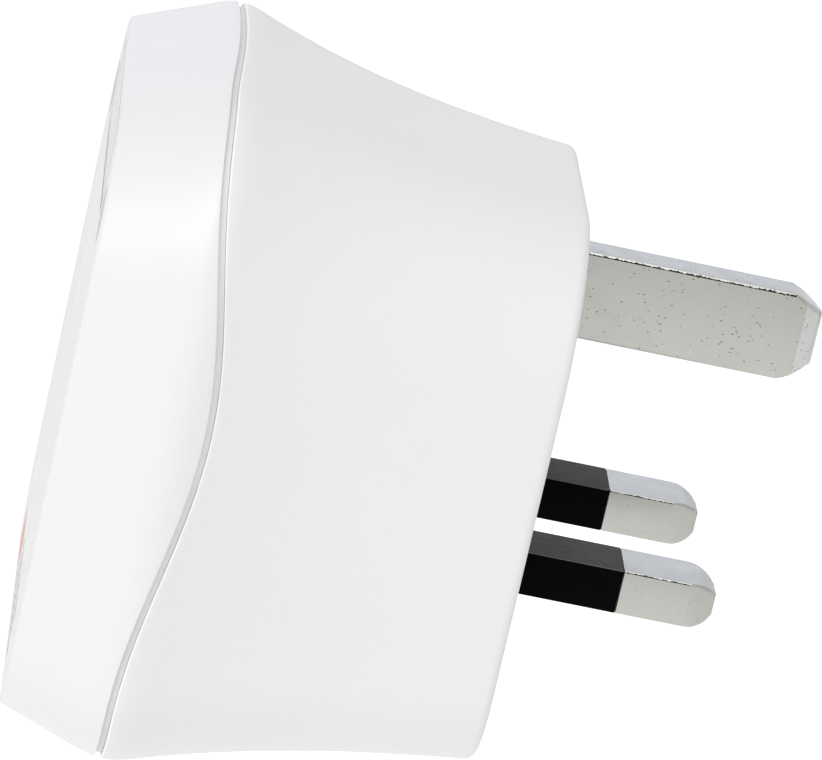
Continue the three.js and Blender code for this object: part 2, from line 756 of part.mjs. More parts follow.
function cellClip() {
  const thickness = 0.4;
  const away = thickness / 2 + FIT;
  const line = [
    [CELL.x0 - away, -CELL.depth - 1],
    [CELL.x0 - away, -ON_BOARD - thickness / 2],
    [CELL.x1 + away, -ON_BOARD - thickness / 2],
    [CELL.x1 + away, -CELL.depth - 1],
  ];
  return sweepZ(bentStrip(line, thickness), [CELL.z - 2.5, CELL.z + 2.5]);
}

// ---- Socket ---------------------------------------------------------------------------------

function socketHousing() {
  const chambers = [
    rectangle(PIN_X, SOCKET_Z, POLE_CHAMBER.width, POLE_CHAMBER.height),
    rectangle(-PIN_X, SOCKET_Z, POLE_CHAMBER.width, POLE_CHAMBER.height),
    rectangle(0, SOCKET_EARTH_Z, EARTH_CHAMBER.width, EARTH_CHAMBER.height),
  ];
  const body = plate(footAndStem(HOUSING), [HOUSING.back, HOUSING.front], chambers);
  const sideRoom = RAMP.halfWidth + 0.5;
  const rampRelief = box(
    [-sideRoom, sideRoom],
    [-HOUSING.front - PAST, 0.5 - RAMP.back],
    [SHUTTER.stem.top - 6, SHUTTER.stem.top + 0.1],
  );
  const peg = box(
    [-PEG.halfWidth, PEG.halfWidth],
    [0.2 - SHUTTER.front, 1 - HOUSING.front],
    [PEG.bottom, PEG.top],
  );
  return join(cut(body, rampRelief), peg);
}

// The shutter closes the line and neutral entries. A longer earth pin runs up its ramp and
// drives it down, clear of both.
function shutter() {
  const slotHeight = SPRING_SLOT.top - SPRING_SLOT.bottom;
  const slot = rectangle(0, SPRING_SLOT.bottom + slotHeight / 2, SPRING_SLOT.width, slotHeight);
  const blade = plate(footAndStem(SHUTTER), [SHUTTER.back, SHUTTER.front], [slot]);
  const rampFoot = SHUTTER.stem.top;
  const overlap = 0.4;
  const rampSide = [
    [-SHUTTER.front, rampFoot - overlap],
    [-RAMP.back, rampFoot - overlap],
    [-RAMP.back, RAMP.top],
    [-RAMP.back - RAMP.tip, RAMP.top],
    [-SHUTTER.front, rampFoot],
  ];
  return join(blade, sweepX(rampSide, [-RAMP.halfWidth, RAMP.halfWidth]));
}

// The shutter's return spring, upright in the shutter's slot above the housing's peg.
function shutterSpring() {
  const turns = 8;
  const coilRadius = 0.85;
  const wireRadius = 0.15;
  const bottom = PEG.top + 0.1 + wireRadius;
  const top = SPRING_SLOT.top - 0.1 - wireRadius;
  const depth = (SHUTTER.back + SHUTTER.front) / 2;
  class Helix extends THREE.Curve {
    getPoint(t) {
      const angle = 2 * Math.PI * turns * t;
      return new THREE.Vector3(
        coilRadius * Math.cos(angle),
        coilRadius * Math.sin(angle) - depth,
        bottom + (top - bottom) * t,
      );
    }
  }
  const wire = new THREE.Shape();
  wire.absarc(0, 0, wireRadius, 0, 2 * Math.PI);
  const geometry = new THREE.ExtrudeGeometry(wire, {
    curveSegments: 3,
    steps: turns * 9,
    extrudePath: new Helix(),
  });
  return solidOf(geometry);
}

// A contact that grips a plug pin between two sprung leaves, as a bent strip: the leaves face
// each other across v, and open towards the user.
function contactOutline(gap, mouthDepth, baseDepth, tailDepth) {
  const thickness = 0.5;
  const leaf = gap / 2 + thickness / 2;
  const flare = 0.4;
  const half = [
    [-mouthDepth, leaf + flare],
    [-mouthDepth + 2, leaf],
    [-baseDepth, leaf],
  ];
  const strip = bentStrip([...half, ...half.map(([y, v]) => [y, -v]).reverse()], thickness);
  const tail = [
    [-baseDepth, -0.3],
    [-tailDepth, -0.3],
    [-tailDepth, 0.3],
    [-baseDepth, 0.3],
  ];
  return { strip, tail };
}

function poleContact(x) {
  const { strip, tail } = contactOutline(POLE_PIN.height + 0.2, FACE_INSIDE - 4, 22, ON_BOARD);
  const raise = (points) => points.map(([y, v]) => [y, SOCKET_Z + v]);
  return join(
    sweepX(raise(strip), [x - 2.5, x + 2.5]),
    sweepX(raise(tail), [x - 1.5, x + 1.5]),
  );
}

function earthContact() {
  const strapDepth = strapDepths[1] + FIT;
  const { strip, tail } = contactOutline(EARTH_PIN.width + 0.2, FACE_INSIDE - 7.4, 17.9, strapDepth);
  const turn = (points) => points.map(([y, v]) => [-v, y]);
  const spread = (half) => [SOCKET_EARTH_Z - half, SOCKET_EARTH_Z + half];
  return join(sweepZ(turn(strip), spread(3)), sweepZ(turn(tail), spread(2.2)));
}

// ---- Display and keys -----------------------------------------------------------------------

function windowOutline(grow) {
  const middle = (WINDOW.top + WINDOW.bottom) / 2;
  const halfHeight = (WINDOW.top - WINDOW.bottom) / 2 + grow;
  const outline = roundedOutline(
    WINDOW.halfWidth + grow,
    -halfHeight,
    halfHeight,
    WINDOW.radius,
    WINDOW.radius,
    3,
  );
  return outline.map(([x, v]) => [x, middle + v]);
}

const CRYSTAL = {
  halfWidth: 15.8,
  bottom: WINDOW.bottom - 0.9,
  top: WINDOW.top + 0.3,
  back: FACE_INSIDE - 3.1,
  front: FACE_INSIDE - 1,
};
const crystalMiddle = (CRYSTAL.bottom + CRYSTAL.top) / 2;
const crystalHeight = CRYSTAL.top - CRYSTAL.bottom;

function displayWindow() {
  const pane = plate(windowOutline(0), [FACE_INSIDE - 0.4, BODY_DEPTH - WINDOW.sunk]);
  const rim = block(0, crystalMiddle, 33, crystalHeight, [FACE_INSIDE - 0.9, FACE_INSIDE - 0.1]);
  return join(pane, rim);
}

const crystal = () =>
  block(0, crystalMiddle, 2 * CRYSTAL.halfWidth, crystalHeight, [CRYSTAL.back, CRYSTAL.front]);

function displayFrame() {
  const outer = rectangle(0, crystalMiddle, 34, crystalHeight + 1.2);
  const inner = rectangle(0, crystalMiddle, 2 * CRYSTAL.halfWidth + 0.2, crystalHeight + 0.1);
  return plate(outer, [DISPLAY_BOARD.front + FIT, CRYSTAL.front], [inner]);
}

const contactStrip = () =>
  block(0, CRYSTAL.bottom + 1.1, 28, 1.6, [DISPLAY_BOARD.front + FIT, CRYSTAL.back - FIT]);

function displayBoard() {
  const outline = [
    [-24.2, 23.8],
    [24.2, 23.8],
    [24.2, 29.2],
    [21, 31.6],
    [17, 32.9],
    [-17, 32.9],
    [-21, 31.6],
    [-24.2, 29.2],
  ];
  return plate(outline, [DISPLAY_BOARD.back, DISPLAY_BOARD.front]);
}

const controllerChip = () =>
  block(11.5, 28, 7, 7, [DISPLAY_BOARD.back - 1.1, DISPLAY_BOARD.back - FIT]);

const KEY_STEM_END = FACE_INSIDE - 2;

// A key, flush with the face: a dished cap, a rim that stops it falling out, and a stem.
function keyCap(side) {
  const rimRadius = KEY.radius + 0.8;
  const rimFront = FACE_INSIDE - 0.1;
  const rimBack = rimFront - 0.8;
  const stemRadius = 1.2;
  const dishRadius = 1.8;
  const dishSphere = 11;
  const dishDepth = (radius) => (dishRadius ** 2 - radius ** 2) / (2 * dishSphere);
  const profile = [
    [0, KEY_STEM_END],
    [stemRadius, KEY_STEM_END],
    [stemRadius, rimBack],
    [rimRadius, rimBack],
    [rimRadius, rimFront],
    [KEY.radius, rimFront],
    [KEY.radius, BODY_DEPTH - 0.2],
    [KEY.radius - 0.2, BODY_DEPTH],
    [dishRadius, BODY_DEPTH],
    [dishRadius / 2, BODY_DEPTH - dishDepth(dishRadius / 2)],
    [0, BODY_DEPTH - dishDepth(0)],
  ];
  const geometry = new THREE.LatheGeometry(
    profile.map(([radius, depth]) => new THREE.Vector2(radius, depth)),
    24,
  );
  geometry.rotateX(Math.PI);
  geometry.translate(side * KEY.x, 0, KEY.z);
  return solidOf(geometry);
}

const SWITCH_FRONT = FACE_INSIDE - 2.8;

function keySwitch(side) {
  const x = side * KEY.x;
  const body = block(x, KEY.z, 4.4, 4.4, [DISPLAY_BOARD.front + FIT, SWITCH_FRONT]);
  return cut(body, barY(x, KEY.z, 1.1, [SWITCH_FRONT - 1.6, SWITCH_FRONT + 1], 16));
}

const keyPlunger = (side) =>
  barY(side * KEY.x, KEY.z, 0.95, [SWITCH_FRONT - 0.9, KEY_STEM_END - FIT], 16);

// The flat cable that folds over from the main board to the display board.
function ribbonCable() {
  const line = [
    [-ON_BOARD, 26.4],
    [-18.5, 26.4],
    [-22, 28.8],
    [-26.5, 29.8],
    [-30, 28.6],
    [-31.9, 26.8],
    [-DISPLAY_BOARD.back + FIT, 26.8],
  ];
  return sweepX(bentStrip(line, 0.5), [-4, 4]);
}

// ---- Assembly -------------------------------------------------------------------------------

const meter = new THREE.Group();

function place(name, solid, material, parent = meter) {
  const mesh = new THREE.Mesh(geometryOf(solid), material);
  mesh.name = name;
  parent.add(mesh);
}

place("rear_shell", rearShell(), MATERIAL.caseBack);
place("front_cover", frontCover(), MATERIAL.caseFront);
for (const spot of SCREW_PLACES) {
  place(`case_screw_${spot.name}`, caseScrew(spot), MATERIAL.steel);
}

place("earth_pin", earthPin(), MATERIAL.nickel);
place("line_pin", polePin(PIN_X, CARRIER.front + 0.2), MATERIAL.nickel);
place("neutral_pin", polePin(-PIN_X, MAIN_BOARD.back - FIT), MATERIAL.nickel);
place("line_pin_sleeve", pinSleeve(PIN_X), MATERIAL.sleeve);
place("neutral_pin_sleeve", pinSleeve(-PIN_X), MATERIAL.sleeve);
place("pin_carrier", pinCarrier(), MATERIAL.innerPlastic);

const drawer = new THREE.Group();
meter.add(drawer);
place("fuse_drawer", fuseDrawer(), MATERIAL.drawer, drawer);
place("fuse_tube", fuseTube(), MATERIAL.ceramic, drawer);
place("fuse_cap_line", fuseCap(1), MATERIAL.brass, drawer);
place("fuse_cap_load", fuseCap(-1), MATERIAL.brass, drawer);
place("fuse_clip_line", fuseClip(1, CARRIER.front + 0.2), MATERIAL.bronze);
place("fuse_clip_load", fuseClip(-1, MAIN_BOARD.back - FIT), MATERIAL.bronze);
place("line_strap", lineStrap(), MATERIAL.bronze);
place("earth_strap", earthStrap(), MATERIAL.bronze);

place("main_board", mainBoard(), MATERIAL.board);
BOARD_SCREW_X.forEach((x, i) => place(`board_screw_${i + 1}`, boardScrew(x), MATERIAL.steel));
place("mains_capacitor", mainsCapacitor(), MATERIAL.capacitorBox);
place("storage_capacitor", storageCapacitor(), MATERIAL.capacitorCan);
place("varistor", varistor(), MATERIAL.varistor);
place("shunt_strip", shuntStrip(), MATERIAL.bronze);
place("metering_chip", meteringChip(), MATERIAL.chip);
place("backup_cell", backupCell(), MATERIAL.steel);
place("cell_clip", cellClip(), MATERIAL.steel);

place("socket_housing", socketHousing(), MATERIAL.innerPlastic);
place("line_contact", poleContact(PIN_X), MATERIAL.bronze);
place("neutral_contact", poleContact(-PIN_X), MATERIAL.bronze);
place("earth_contact", earthContact(), MATERIAL.bronze);

const shutterGroup = new THREE.Group();
meter.add(shutterGroup);
place("shutter", shutter(), MATERIAL.caseFront, shutterGroup);
place("shutter_spring", shutterSpring(), MATERIAL.steel, shutterGroup);

place("display_board", displayBoard(), MATERIAL.board);
place("controller_chip", controllerChip(), MATERIAL.chip);
place("display_frame", displayFrame(), MATERIAL.innerPlastic);
place("liquid_crystal", crystal(), MATERIAL.liquidCrystal);
place("contact_strip", contactStrip(), MATERIAL.elastomer);
place("display_window", displayWindow(), MATERIAL.window);
place("ribbon_cable", ribbonCable(), MATERIAL.ribbon);

for (const [name, side] of [["mode", -1], ["set", 1]]) {
  const key = new THREE.Group();
  meter.add(key);
  place(`${name}_key`, keyCap(side), MATERIAL.key, key);
  place(`${name}_plunger`, keyPlunger(side), MATERIAL.chip, key);
  place(`${name}_switch`, keySwitch(side), MATERIAL.chip);
}

export default meter;
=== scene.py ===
import json
import math

import bmesh
import bpy
from mathutils import Matrix, Vector


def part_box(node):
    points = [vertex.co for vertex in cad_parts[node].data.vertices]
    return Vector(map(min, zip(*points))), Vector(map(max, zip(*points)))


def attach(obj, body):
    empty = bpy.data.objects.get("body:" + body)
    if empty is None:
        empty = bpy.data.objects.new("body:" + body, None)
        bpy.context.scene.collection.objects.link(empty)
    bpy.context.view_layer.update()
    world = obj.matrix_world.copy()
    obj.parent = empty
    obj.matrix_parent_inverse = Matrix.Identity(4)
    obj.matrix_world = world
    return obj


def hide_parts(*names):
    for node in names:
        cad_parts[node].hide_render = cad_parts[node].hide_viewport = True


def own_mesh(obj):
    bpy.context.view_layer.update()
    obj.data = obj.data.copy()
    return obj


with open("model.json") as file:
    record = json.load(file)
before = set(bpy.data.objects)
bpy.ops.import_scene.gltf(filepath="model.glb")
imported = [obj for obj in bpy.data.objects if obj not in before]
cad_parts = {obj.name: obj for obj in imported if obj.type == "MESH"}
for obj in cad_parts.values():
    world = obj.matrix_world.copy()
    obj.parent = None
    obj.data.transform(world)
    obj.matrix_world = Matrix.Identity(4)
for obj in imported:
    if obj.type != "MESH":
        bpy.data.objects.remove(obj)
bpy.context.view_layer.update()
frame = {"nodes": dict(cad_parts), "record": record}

MM = 0.001


# ---- Sizes read from the frame ---------------------------------------------------------------

def extent_at(node, depth):
    """Half-width, top and bottom of a node's outline at a depth."""
    points = [v.co for v in frame["nodes"][node].data.vertices if abs(v.co.y + depth) < 0.02 * MM]
    return (
        max(p.x for p in points),
        max(p.z for p in points),
        min(p.z for p in points),
    )


def middle(node):
    low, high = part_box(node)
    return (low + high) / 2


def section(name, y0, y1):
    """Centre and half-size in X and Z of the part of a node between two places along Y."""
    points = [v.co for v in frame["nodes"][name].data.vertices if y0 <= v.co.y <= y1]
    xs = [p.x for p in points]
    zs = [p.z for p in points]
    centre = ((min(xs) + max(xs)) / 2, (min(zs) + max(zs)) / 2)
    return centre, ((max(xs) - min(xs)) / 2, (max(zs) - min(zs)) / 2)


cover_low, cover_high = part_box("front_cover")
BODY_DEPTH = -cover_low.y
BACK_EDGE = 0.8 * MM
FRONT_EDGE = 0.6 * MM
FACE_EDGE = 0.28 * MM
WALL = 2.0 * MM
BACK_WALL = 2.2 * MM
CREST_DEPTH = 31.9 * MM
CREST_SOFTNESS = 1.2 * MM

# The radii of the outline's upper and lower corners at the back, the crest and the front.
BACK_CORNERS = (14 * MM, 8 * MM)
CREST_CORNERS = (15.6 * MM, 9 * MM)
FRONT_CORNERS = (15.3 * MM, 8.1 * MM)

# Five measures of the outline: half-width, top, bottom, and the two corner radii. The crest is
# the cover's box, and what the soft crest takes off it.
lost_to_softness = CREST_SOFTNESS / 4
BACK = extent_at("rear_shell", BACK_EDGE) + BACK_CORNERS
CREST = (
    cover_high.x + lost_to_softness,
    cover_high.z + lost_to_softness,
    cover_low.z - lost_to_softness,
) + CREST_CORNERS
FRONT = extent_at("front_cover", BODY_DEPTH - FRONT_EDGE) + FRONT_CORNERS
# Share of straight flare, and the power of the curved rest, for each of the five measures.
FLARE = ((0.45, 2.6), (0.46, 2.6), (0.65, 2.0), (1.0, 1.0), (1.0, 1.0))

# The seam swings back by the first value, about the second, over the third on either side.
SEAM_DEPTH = 32.42 * MM
SIDE_SWING = (3.2 * MM, 11.6 * MM, 26 * MM)
END_SWING = (0.7 * MM, -8 * MM, 27 * MM)
SEAM_GAP = 0.58 * MM
LEDGE_INSET = 0.45 * MM
LEDGE_CLEARANCE = 0.03 * MM
TONGUE_INSET = 1.0 * MM
TONGUE_REACH = 3.0 * MM
REAR_RIM_ROUND = 0.2 * MM
COVER_RIM_ROUND = 0.08 * MM

# The socket entries' half-sizes in X and Z.
POLE_ENTRY = (3.5 * MM, 2.3 * MM)
EARTH_ENTRY = (2.25 * MM, 4.3 * MM)

CORNER_STEPS = 22
SIDE_STEPS = 56
END_STEPS = 24
SMOOTH_DEGREES = 28


# ---- The case's outer form ---------------------------------------------------------------------

def soft_minimum(a, b, softness):
    near = max(softness - abs(a - b), 0) / softness
    return min(a, b) - near * near * softness / 4


def reach(depth, which):
    """One measure of the outline at a depth: the flare and the taper meet at a soft crest."""
    share, power = FLARE[which]
    t = max(depth, 0) / CREST_DEPTH
    rise = share * t + (1 - share) * t ** power
    flare = abs(BACK[which]) + (abs(CREST[which]) - abs(BACK[which])) * rise
    to_front = (depth - CREST_DEPTH) / (BODY_DEPTH - CREST_DEPTH)
    taper = abs(CREST[which]) + (abs(FRONT[which]) - abs(CREST[which])) * to_front
    return soft_minimum(flare, taper, CREST_SOFTNESS)


def measures(depth, inset):
    half, top, bottom, top_round, bottom_round = (reach(depth, i) for i in range(5))
    return half - inset, top - inset, inset - bottom, top_round - inset, bottom_round - inset


def column_list():
    """The places round the outline: ("corner", which, angle) or ("edge", which, share)."""
    columns = []
    edge_steps = (SIDE_STEPS, END_STEPS, SIDE_STEPS, END_STEPS)
    for which in range(4):
        start = math.radians(90 * which - 90)
        for i in range(CORNER_STEPS + 1):
            columns.append(("corner", which, start + math.radians(90) * i / CORNER_STEPS))
        for i in range(1, edge_steps[which]):
            columns.append(("edge", which, i / edge_steps[which]))
    return columns


COLUMNS = column_list()


def corner_point(which, angle, size):
    half, top, bottom, top_round, bottom_round = size
    upper = which in (1, 2)
    radius = top_round if upper else bottom_round
    x = (half - radius) * (1 if which in (0, 1) else -1)
    z = top - radius if upper else bottom + radius
    return x + radius * math.cos(angle), z + radius * math.sin(angle)


def outline_point(column, depth, inset):
    """X and Z of one column of the form."""
    kind, which, place = column
    size = measures(depth, inset)
    if kind == "corner":
        return corner_point(which, place, size)
    turn = math.radians(90 * which)
    x0, z0 = corner_point(which, turn, size)
    x1, z1 = corner_point((which + 1) % 4, turn, size)
    return x0 + (x1 - x0) * place, z0 + (z1 - z0) * place


def swing(by, centre, half_length, place):
    share = min(abs(place - centre) / half_length, 1)
    return by * math.cos(math.pi / 2 * share) ** 2


def seam_depth(x, z):
    return SEAM_DEPTH - swing(*SIDE_SWING, z) - swing(*END_SWING, x)


def depth_at_seam(column, inset, offset):
    """The depth where a column meets the seam moved by an offset towards the front."""
    depth = SEAM_DEPTH
    for _ in range(12):
        depth = seam_depth(*outline_point(column, depth, inset)) + offset
    return depth


# ---- Meshes --------------------------------------------------------------------------------------

def link(name, mesh):
    piece = bpy.data.objects.new(name, mesh)
    bpy.context.scene.collection.objects.link(piece)
    return piece


def smooth_by_angle(piece, degrees):
    piece.data.polygons.foreach_set("use_smooth", [True] * len(piece.data.polygons))
    piece.data.set_sharp_from_angle(angle=math.radians(degrees))


def skin(name, rows, tube=False, second_finish=(0, 0)):
    """A closed skin over rows of points. The first and the last row get flat caps, or in a tube
    they are joined to each other. Bands between two row numbers take the second material."""
    count = len(rows[0])
    points = [point for row in rows for point in row]
    faces = []
    finish = []
    for r in range(len(rows) - (0 if tube else 1)):
        here, beyond = r * count, (r + 1) % len(rows) * count
        for i in range(count):
            j = (i + 1) % count
            faces.append([here + j, here + i, beyond + i, beyond + j])
        finish += [int(second_finish[0] <= r < second_finish[1])] * count
    if not tube:
        last = (len(rows) - 1) * count
        faces.append(list(range(count)))
        faces.append([last + i for i in reversed(range(count))])
        finish += [0, 0]
    mesh = bpy.data.meshes.new(name)
    mesh.from_pydata(points, [], faces)
    mesh.polygons.foreach_set("material_index", finish)
    made = bmesh.new()
    made.from_mesh(mesh)
    bmesh.ops.recalc_face_normals(made, faces=made.faces)
    made.to_mesh(mesh)
    made.free()
    return link(name, mesh)


def form_row(depth_and_inset):
    """One row of the form; the depth may differ from column to column."""
    row = []
    for column in COLUMNS:
        depth, inset = depth_and_inset(column)
        x, z = outline_point(column, depth, inset)
        row.append((x, -depth, z))
    return row


def level(depth, inset):
    return form_row(lambda column: (depth, inset))


def at_seam(inset, offset):
    return form_row(lambda column: (depth_at_seam(column, inset, offset), inset))


def between(depth, inset, offset, share, edge_inset=0.0):
    """A row part of the way from a level depth to the seam."""
    def place(column):
        end = depth_at_seam(column, edge_inset, offset)
        return depth + (end - depth) * share, inset
    return form_row(place)


def quarter(steps):
    """Sine and cosine pairs of a quarter turn, first to last."""
    return [
        (math.sin(math.pi / 2 * i / steps), math.cos(math.pi / 2 * i / steps))
        for i in range(steps + 1)
    ]


def prism(name, outline, depth0, depth1, chamfer=0.0):
    """An outline in X and Z swept between two depths; with a chamfer, its front end flares."""
    rows = [[(x, -depth0, z) for x, z in outline], [(x, -(depth1 - chamfer), z) for x, z in outline]]
    if chamfer:
        cx = sum(x for x, z in outline) / len(outline)
        cz = sum(z for x, z in outline) / len(outline)
        half_x = max(x for x, z in outline) - cx
        half_z = max(z for x, z in outline) - cz

        def grown(by):
            return [
                (cx + (x - cx) * (1 + by / half_x), cz + (z - cz) * (1 + by / half_z))
                for x, z in outline
            ]
        rows.append([(x, -depth1, z) for x, z in grown(chamfer)])
        rows.append([(x, -(depth1 + chamfer), z) for x, z in grown(2 * chamfer)])
    return skin(name, rows)


def rounded_rectangle(x, z, half_x, half_z, radius, steps=6):
    points = []
    for which, (sx, sz) in enumerate(((1, -1), (1, 1), (-1, 1), (-1, -1))):
        for i in range(steps + 1):
            angle = math.radians(90 * which - 90 + 90 * i / steps)
            points.append((
                x + sx * (half_x - radius) + radius * math.cos(angle),
                z + sz * (half_z - radius) + radius * math.sin(angle),
            ))
    return points


def circle(x, z, radius, steps=64):
    return [
        (x + radius * math.cos(math.tau * i / steps), z + radius * math.sin(math.tau * i / steps))
        for i in range(steps)
    ]


def turned(name, x, z, profile, steps=72):
    """A solid of revolution about a line along Y, from (radius, depth) points that start and
    end on the line."""
    made = bmesh.new()
    rings = []
    for radius, depth in profile:
        if radius < 1e-9:
            rings.append([made.verts.new((x, -depth, z))])
        else:
            rings.append([made.verts.new((px, -depth, pz)) for px, pz in circle(x, z, radius, steps)])
    for before, after in zip(rings, rings[1:]):
        for i in range(steps):
            j = (i + 1) % steps
            corners = [before[i % len(before)], before[j % len(before)],
                       after[j % len(after)], after[i % len(after)]]
            distinct = [v for k, v in enumerate(corners) if v not in corners[:k]]
            made.faces.new(distinct)
    bmesh.ops.recalc_face_normals(made, faces=made.faces)
    mesh = bpy.data.meshes.new(name)
    made.to_mesh(mesh)
    made.free()
    return link(name, mesh)


def carve(piece, operation, *tools):
    """Joins or cuts a piece with other solids, and removes those."""
    for tool in tools:
        step = piece.modifiers.new(operation, "BOOLEAN")
        step.operation = operation
        step.solver = "EXACT"
        step.object = tool
        bpy.context.view_layer.update()
        done = bpy.data.meshes.new_from_object(
            piece.evaluated_get(bpy.context.evaluated_depsgraph_get())
        )
        piece.modifiers.clear()
        old = piece.data
        piece.data = done
        bpy.data.meshes.remove(old)
        bpy.data.objects.remove(tool)


def paint(piece, *slots):
    for slot in slots:
        piece.data.materials.append(MATERIALS[slot])


def stand_for(piece, body, slot, *nodes):
    """Gives a piece its body, its record slot and the CAD nodes that it replaces."""
    if not piece.data.materials:
        paint(piece, slot)
    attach(piece, body)
    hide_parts(*nodes)


# ---- Shader helpers ------------------------------------------------------------------------------

class Shader:
    """A node material with a Principled surface and short calls for its nodes."""

    def __init__(self, name):
        self.material = bpy.data.materials.new(name)
        self.material.use_nodes = True
        self.tree = self.material.node_tree
        self.surface = self.tree.nodes["Principled BSDF"]
        self.place = self.tree.nodes.new("ShaderNodeTexCoord").outputs["Object"]

    def set(self, **values):
        for key, value in values.items():
            socket = self.surface.inputs[key.replace("_", " ")]
            self.feed(socket, value)
        return self

    def feed(self, socket, value):
        if isinstance(value, bpy.types.NodeSocket):
            self.tree.links.new(value, socket)
        else:
            socket.default_value = value

    def stretch(self, scale):
        """The position, scaled along each axis."""
        node = self.tree.nodes.new("ShaderNodeMapping")
        self.tree.links.new(self.place, node.inputs["Vector"])
        node.inputs["Scale"].default_value = scale
        return node.outputs["Vector"]

    def noise(self, size, detail=2.0, roughness=0.5, vector=None):
        """Noise whose features are about a size across, in metres."""
        node = self.tree.nodes.new("ShaderNodeTexNoise")
        node.inputs["Scale"].default_value = 1 / size
        node.inputs["Detail"].default_value = detail
        node.inputs["Roughness"].default_value = roughness
        self.tree.links.new(vector or self.place, node.inputs["Vector"])
        return node.outputs["Fac"]

    def cells(self, size, feature="F1", vector=None):
        node = self.tree.nodes.new("ShaderNodeTexVoronoi")
        node.feature = feature
        node.inputs["Scale"].default_value = 1 / size
        self.tree.links.new(vector or self.place, node.inputs["Vector"])
        return node.outputs["Distance"]

    def ramp(self, value, low, high, out_low=0.0, out_high=1.0):
        node = self.tree.nodes.new("ShaderNodeMapRange")
        self.feed(node.inputs["Value"], value)
        node.inputs["From Min"].default_value = low
        node.inputs["From Max"].default_value = high
        node.inputs["To Min"].default_value = out_low
        node.inputs["To Max"].default_value = out_high
        return node.outputs["Result"]

    def math(self, operation, a, b=0.0):
        node = self.tree.nodes.new("ShaderNodeMath")
        node.operation = operation
        self.feed(node.inputs[0], a)
        self.feed(node.inputs[1], b)
        return node.outputs[0]

    def mix(self, share, a, b):
        node = self.tree.nodes.new("ShaderNodeMix")
        node.data_type = "RGBA"
        self.feed(node.inputs["Factor"], share)
        self.feed(node.inputs["A"], a)
        self.feed(node.inputs["B"], b)
        return node.outputs["Result"]

    def axis(self, which):
        node = self.tree.nodes.new("ShaderNodeSeparateXYZ")
        self.tree.links.new(self.place, node.inputs["Vector"])
        return node.outputs[which]

    def seen_directly(self):
        return self.tree.nodes.new("ShaderNodeLightPath").outputs["Is Camera Ray"]

    def facing(self, which):
        """How far the surface faces along an axis, from -1 to 1."""
        geometry = self.tree.nodes.new("ShaderNodeNewGeometry")
        parts = self.tree.nodes.new("ShaderNodeSeparateXYZ")
        self.tree.links.new(geometry.outputs["Normal"], parts.inputs["Vector"])
        return parts.outputs[which]

    def band(self, value, low, high):
        """1 where a value lies between two limits."""
        return self.math(
            "MULTIPLY", self.math("GREATER_THAN", value, low), self.math("LESS_THAN", value, high)
        )

    def edges(self, radius):
        """1 on sharp edges and 0 on flats, from how far a bevelled normal turns."""
        bevel = self.tree.nodes.new("ShaderNodeBevel")
        bevel.samples = 4
        bevel.inputs["Radius"].default_value = radius
        plain = self.tree.nodes.new("ShaderNodeNewGeometry")
        dot = self.tree.nodes.new("ShaderNodeVectorMath")
        dot.operation = "DOT_PRODUCT"
        self.tree.links.new(bevel.outputs["Normal"], dot.inputs[0])
        self.tree.links.new(plain.outputs["Normal"], dot.inputs[1])
        return self.ramp(dot.outputs["Value"], 1.0, 0.86)

    def bump(self, *layers):
        """Stacks (height socket, distance in metres, strength) layers into the normal."""
        normal = None
        for height, distance, strength in layers:
            node = self.tree.nodes.new("ShaderNodeBump")
            node.inputs["Distance"].default_value = distance
            node.inputs["Strength"].default_value = strength
            self.tree.links.new(height, node.inputs["Height"])
            if normal:
                self.tree.links.new(normal, node.inputs["Normal"])
            normal = node.outputs["Normal"]
        self.tree.links.new(normal, self.surface.inputs["Normal"])
        return self


def tint(colour, by):
    return tuple(max(0.0, min(1.0, c * by)) for c in colour) + (1.0,)


# ---- Materials ------------------------------------------------------------------------------------

def moulded(name, colour, roughness, grain=0.25 * MM, grain_height=0.012 * MM, sheen=0.5):
    """Moulded plastic: spark-eroded grain, faint flow clouding, edges polished by handling."""
    made = Shader(name)
    clouds = made.noise(9 * MM, 3)
    edge_band = made.edges(0.25 * MM)
    shade = made.mix(clouds, tint(colour, 0.985), tint(colour, 1.01))
    rough = made.ramp(made.noise(3 * MM, 4), 0.3, 0.7, roughness * 0.93, roughness * 1.07)
    made.set(
        Base_Color=shade,
        Roughness=made.math("SUBTRACT", rough, made.math("MULTIPLY", edge_band, 0.08)),
        IOR=1.5,
        Specular_IOR_Level=sheen,
    )
    made.bump(
        (made.noise(6 * MM, 1), 0.03 * MM, 0.35),
        (made.noise(grain, 3, 0.65), grain_height, 0.8),
    )
    return made


def print_marks(made, base):
    """Ink on the front face: a red bar and, beside it, rows of small dark dashes."""
    red_bar = (-17 * MM, -7 * MM, -16.6 * MM, -13.2 * MM)
    dash_field = (-5 * MM, 17 * MM, -16.2 * MM, -11.2 * MM)
    row_pitch = 1.6 * MM
    dash_pitch = 2.9 * MM
    row_shift = 2.1
    x, y, z = (made.axis(i) for i in range(3))
    on_face = made.math("LESS_THAN", y, 0.3 * MM - BODY_DEPTH)

    def patch(x0, x1, z0, z1):
        inside = made.math("MULTIPLY", made.band(x, x0, x1), made.band(z, z0, z1))
        return made.math("MULTIPLY", inside, on_face)

    row_place = made.math("DIVIDE", z, row_pitch)
    in_row = made.math("LESS_THAN", made.math("FRACT", row_place), 0.5)
    turn = made.math("MULTIPLY", made.math("FLOOR", row_place), row_shift)
    along = made.math("ADD", made.math("MULTIPLY", x, math.tau / dash_pitch), turn)
    dashes = made.math("MULTIPLY", in_row, made.math("GREATER_THAN", made.math("SINE", along), -0.5))
    dark = made.math("MULTIPLY", patch(*dash_field), dashes)
    shade = made.mix(patch(*red_bar), base, (0.74, 0.24, 0.17, 1))
    return made.mix(dark, shade, (0.03, 0.032, 0.04, 1))


def base_colour(made):
    return made.surface.inputs["Base Color"].links[0].from_socket


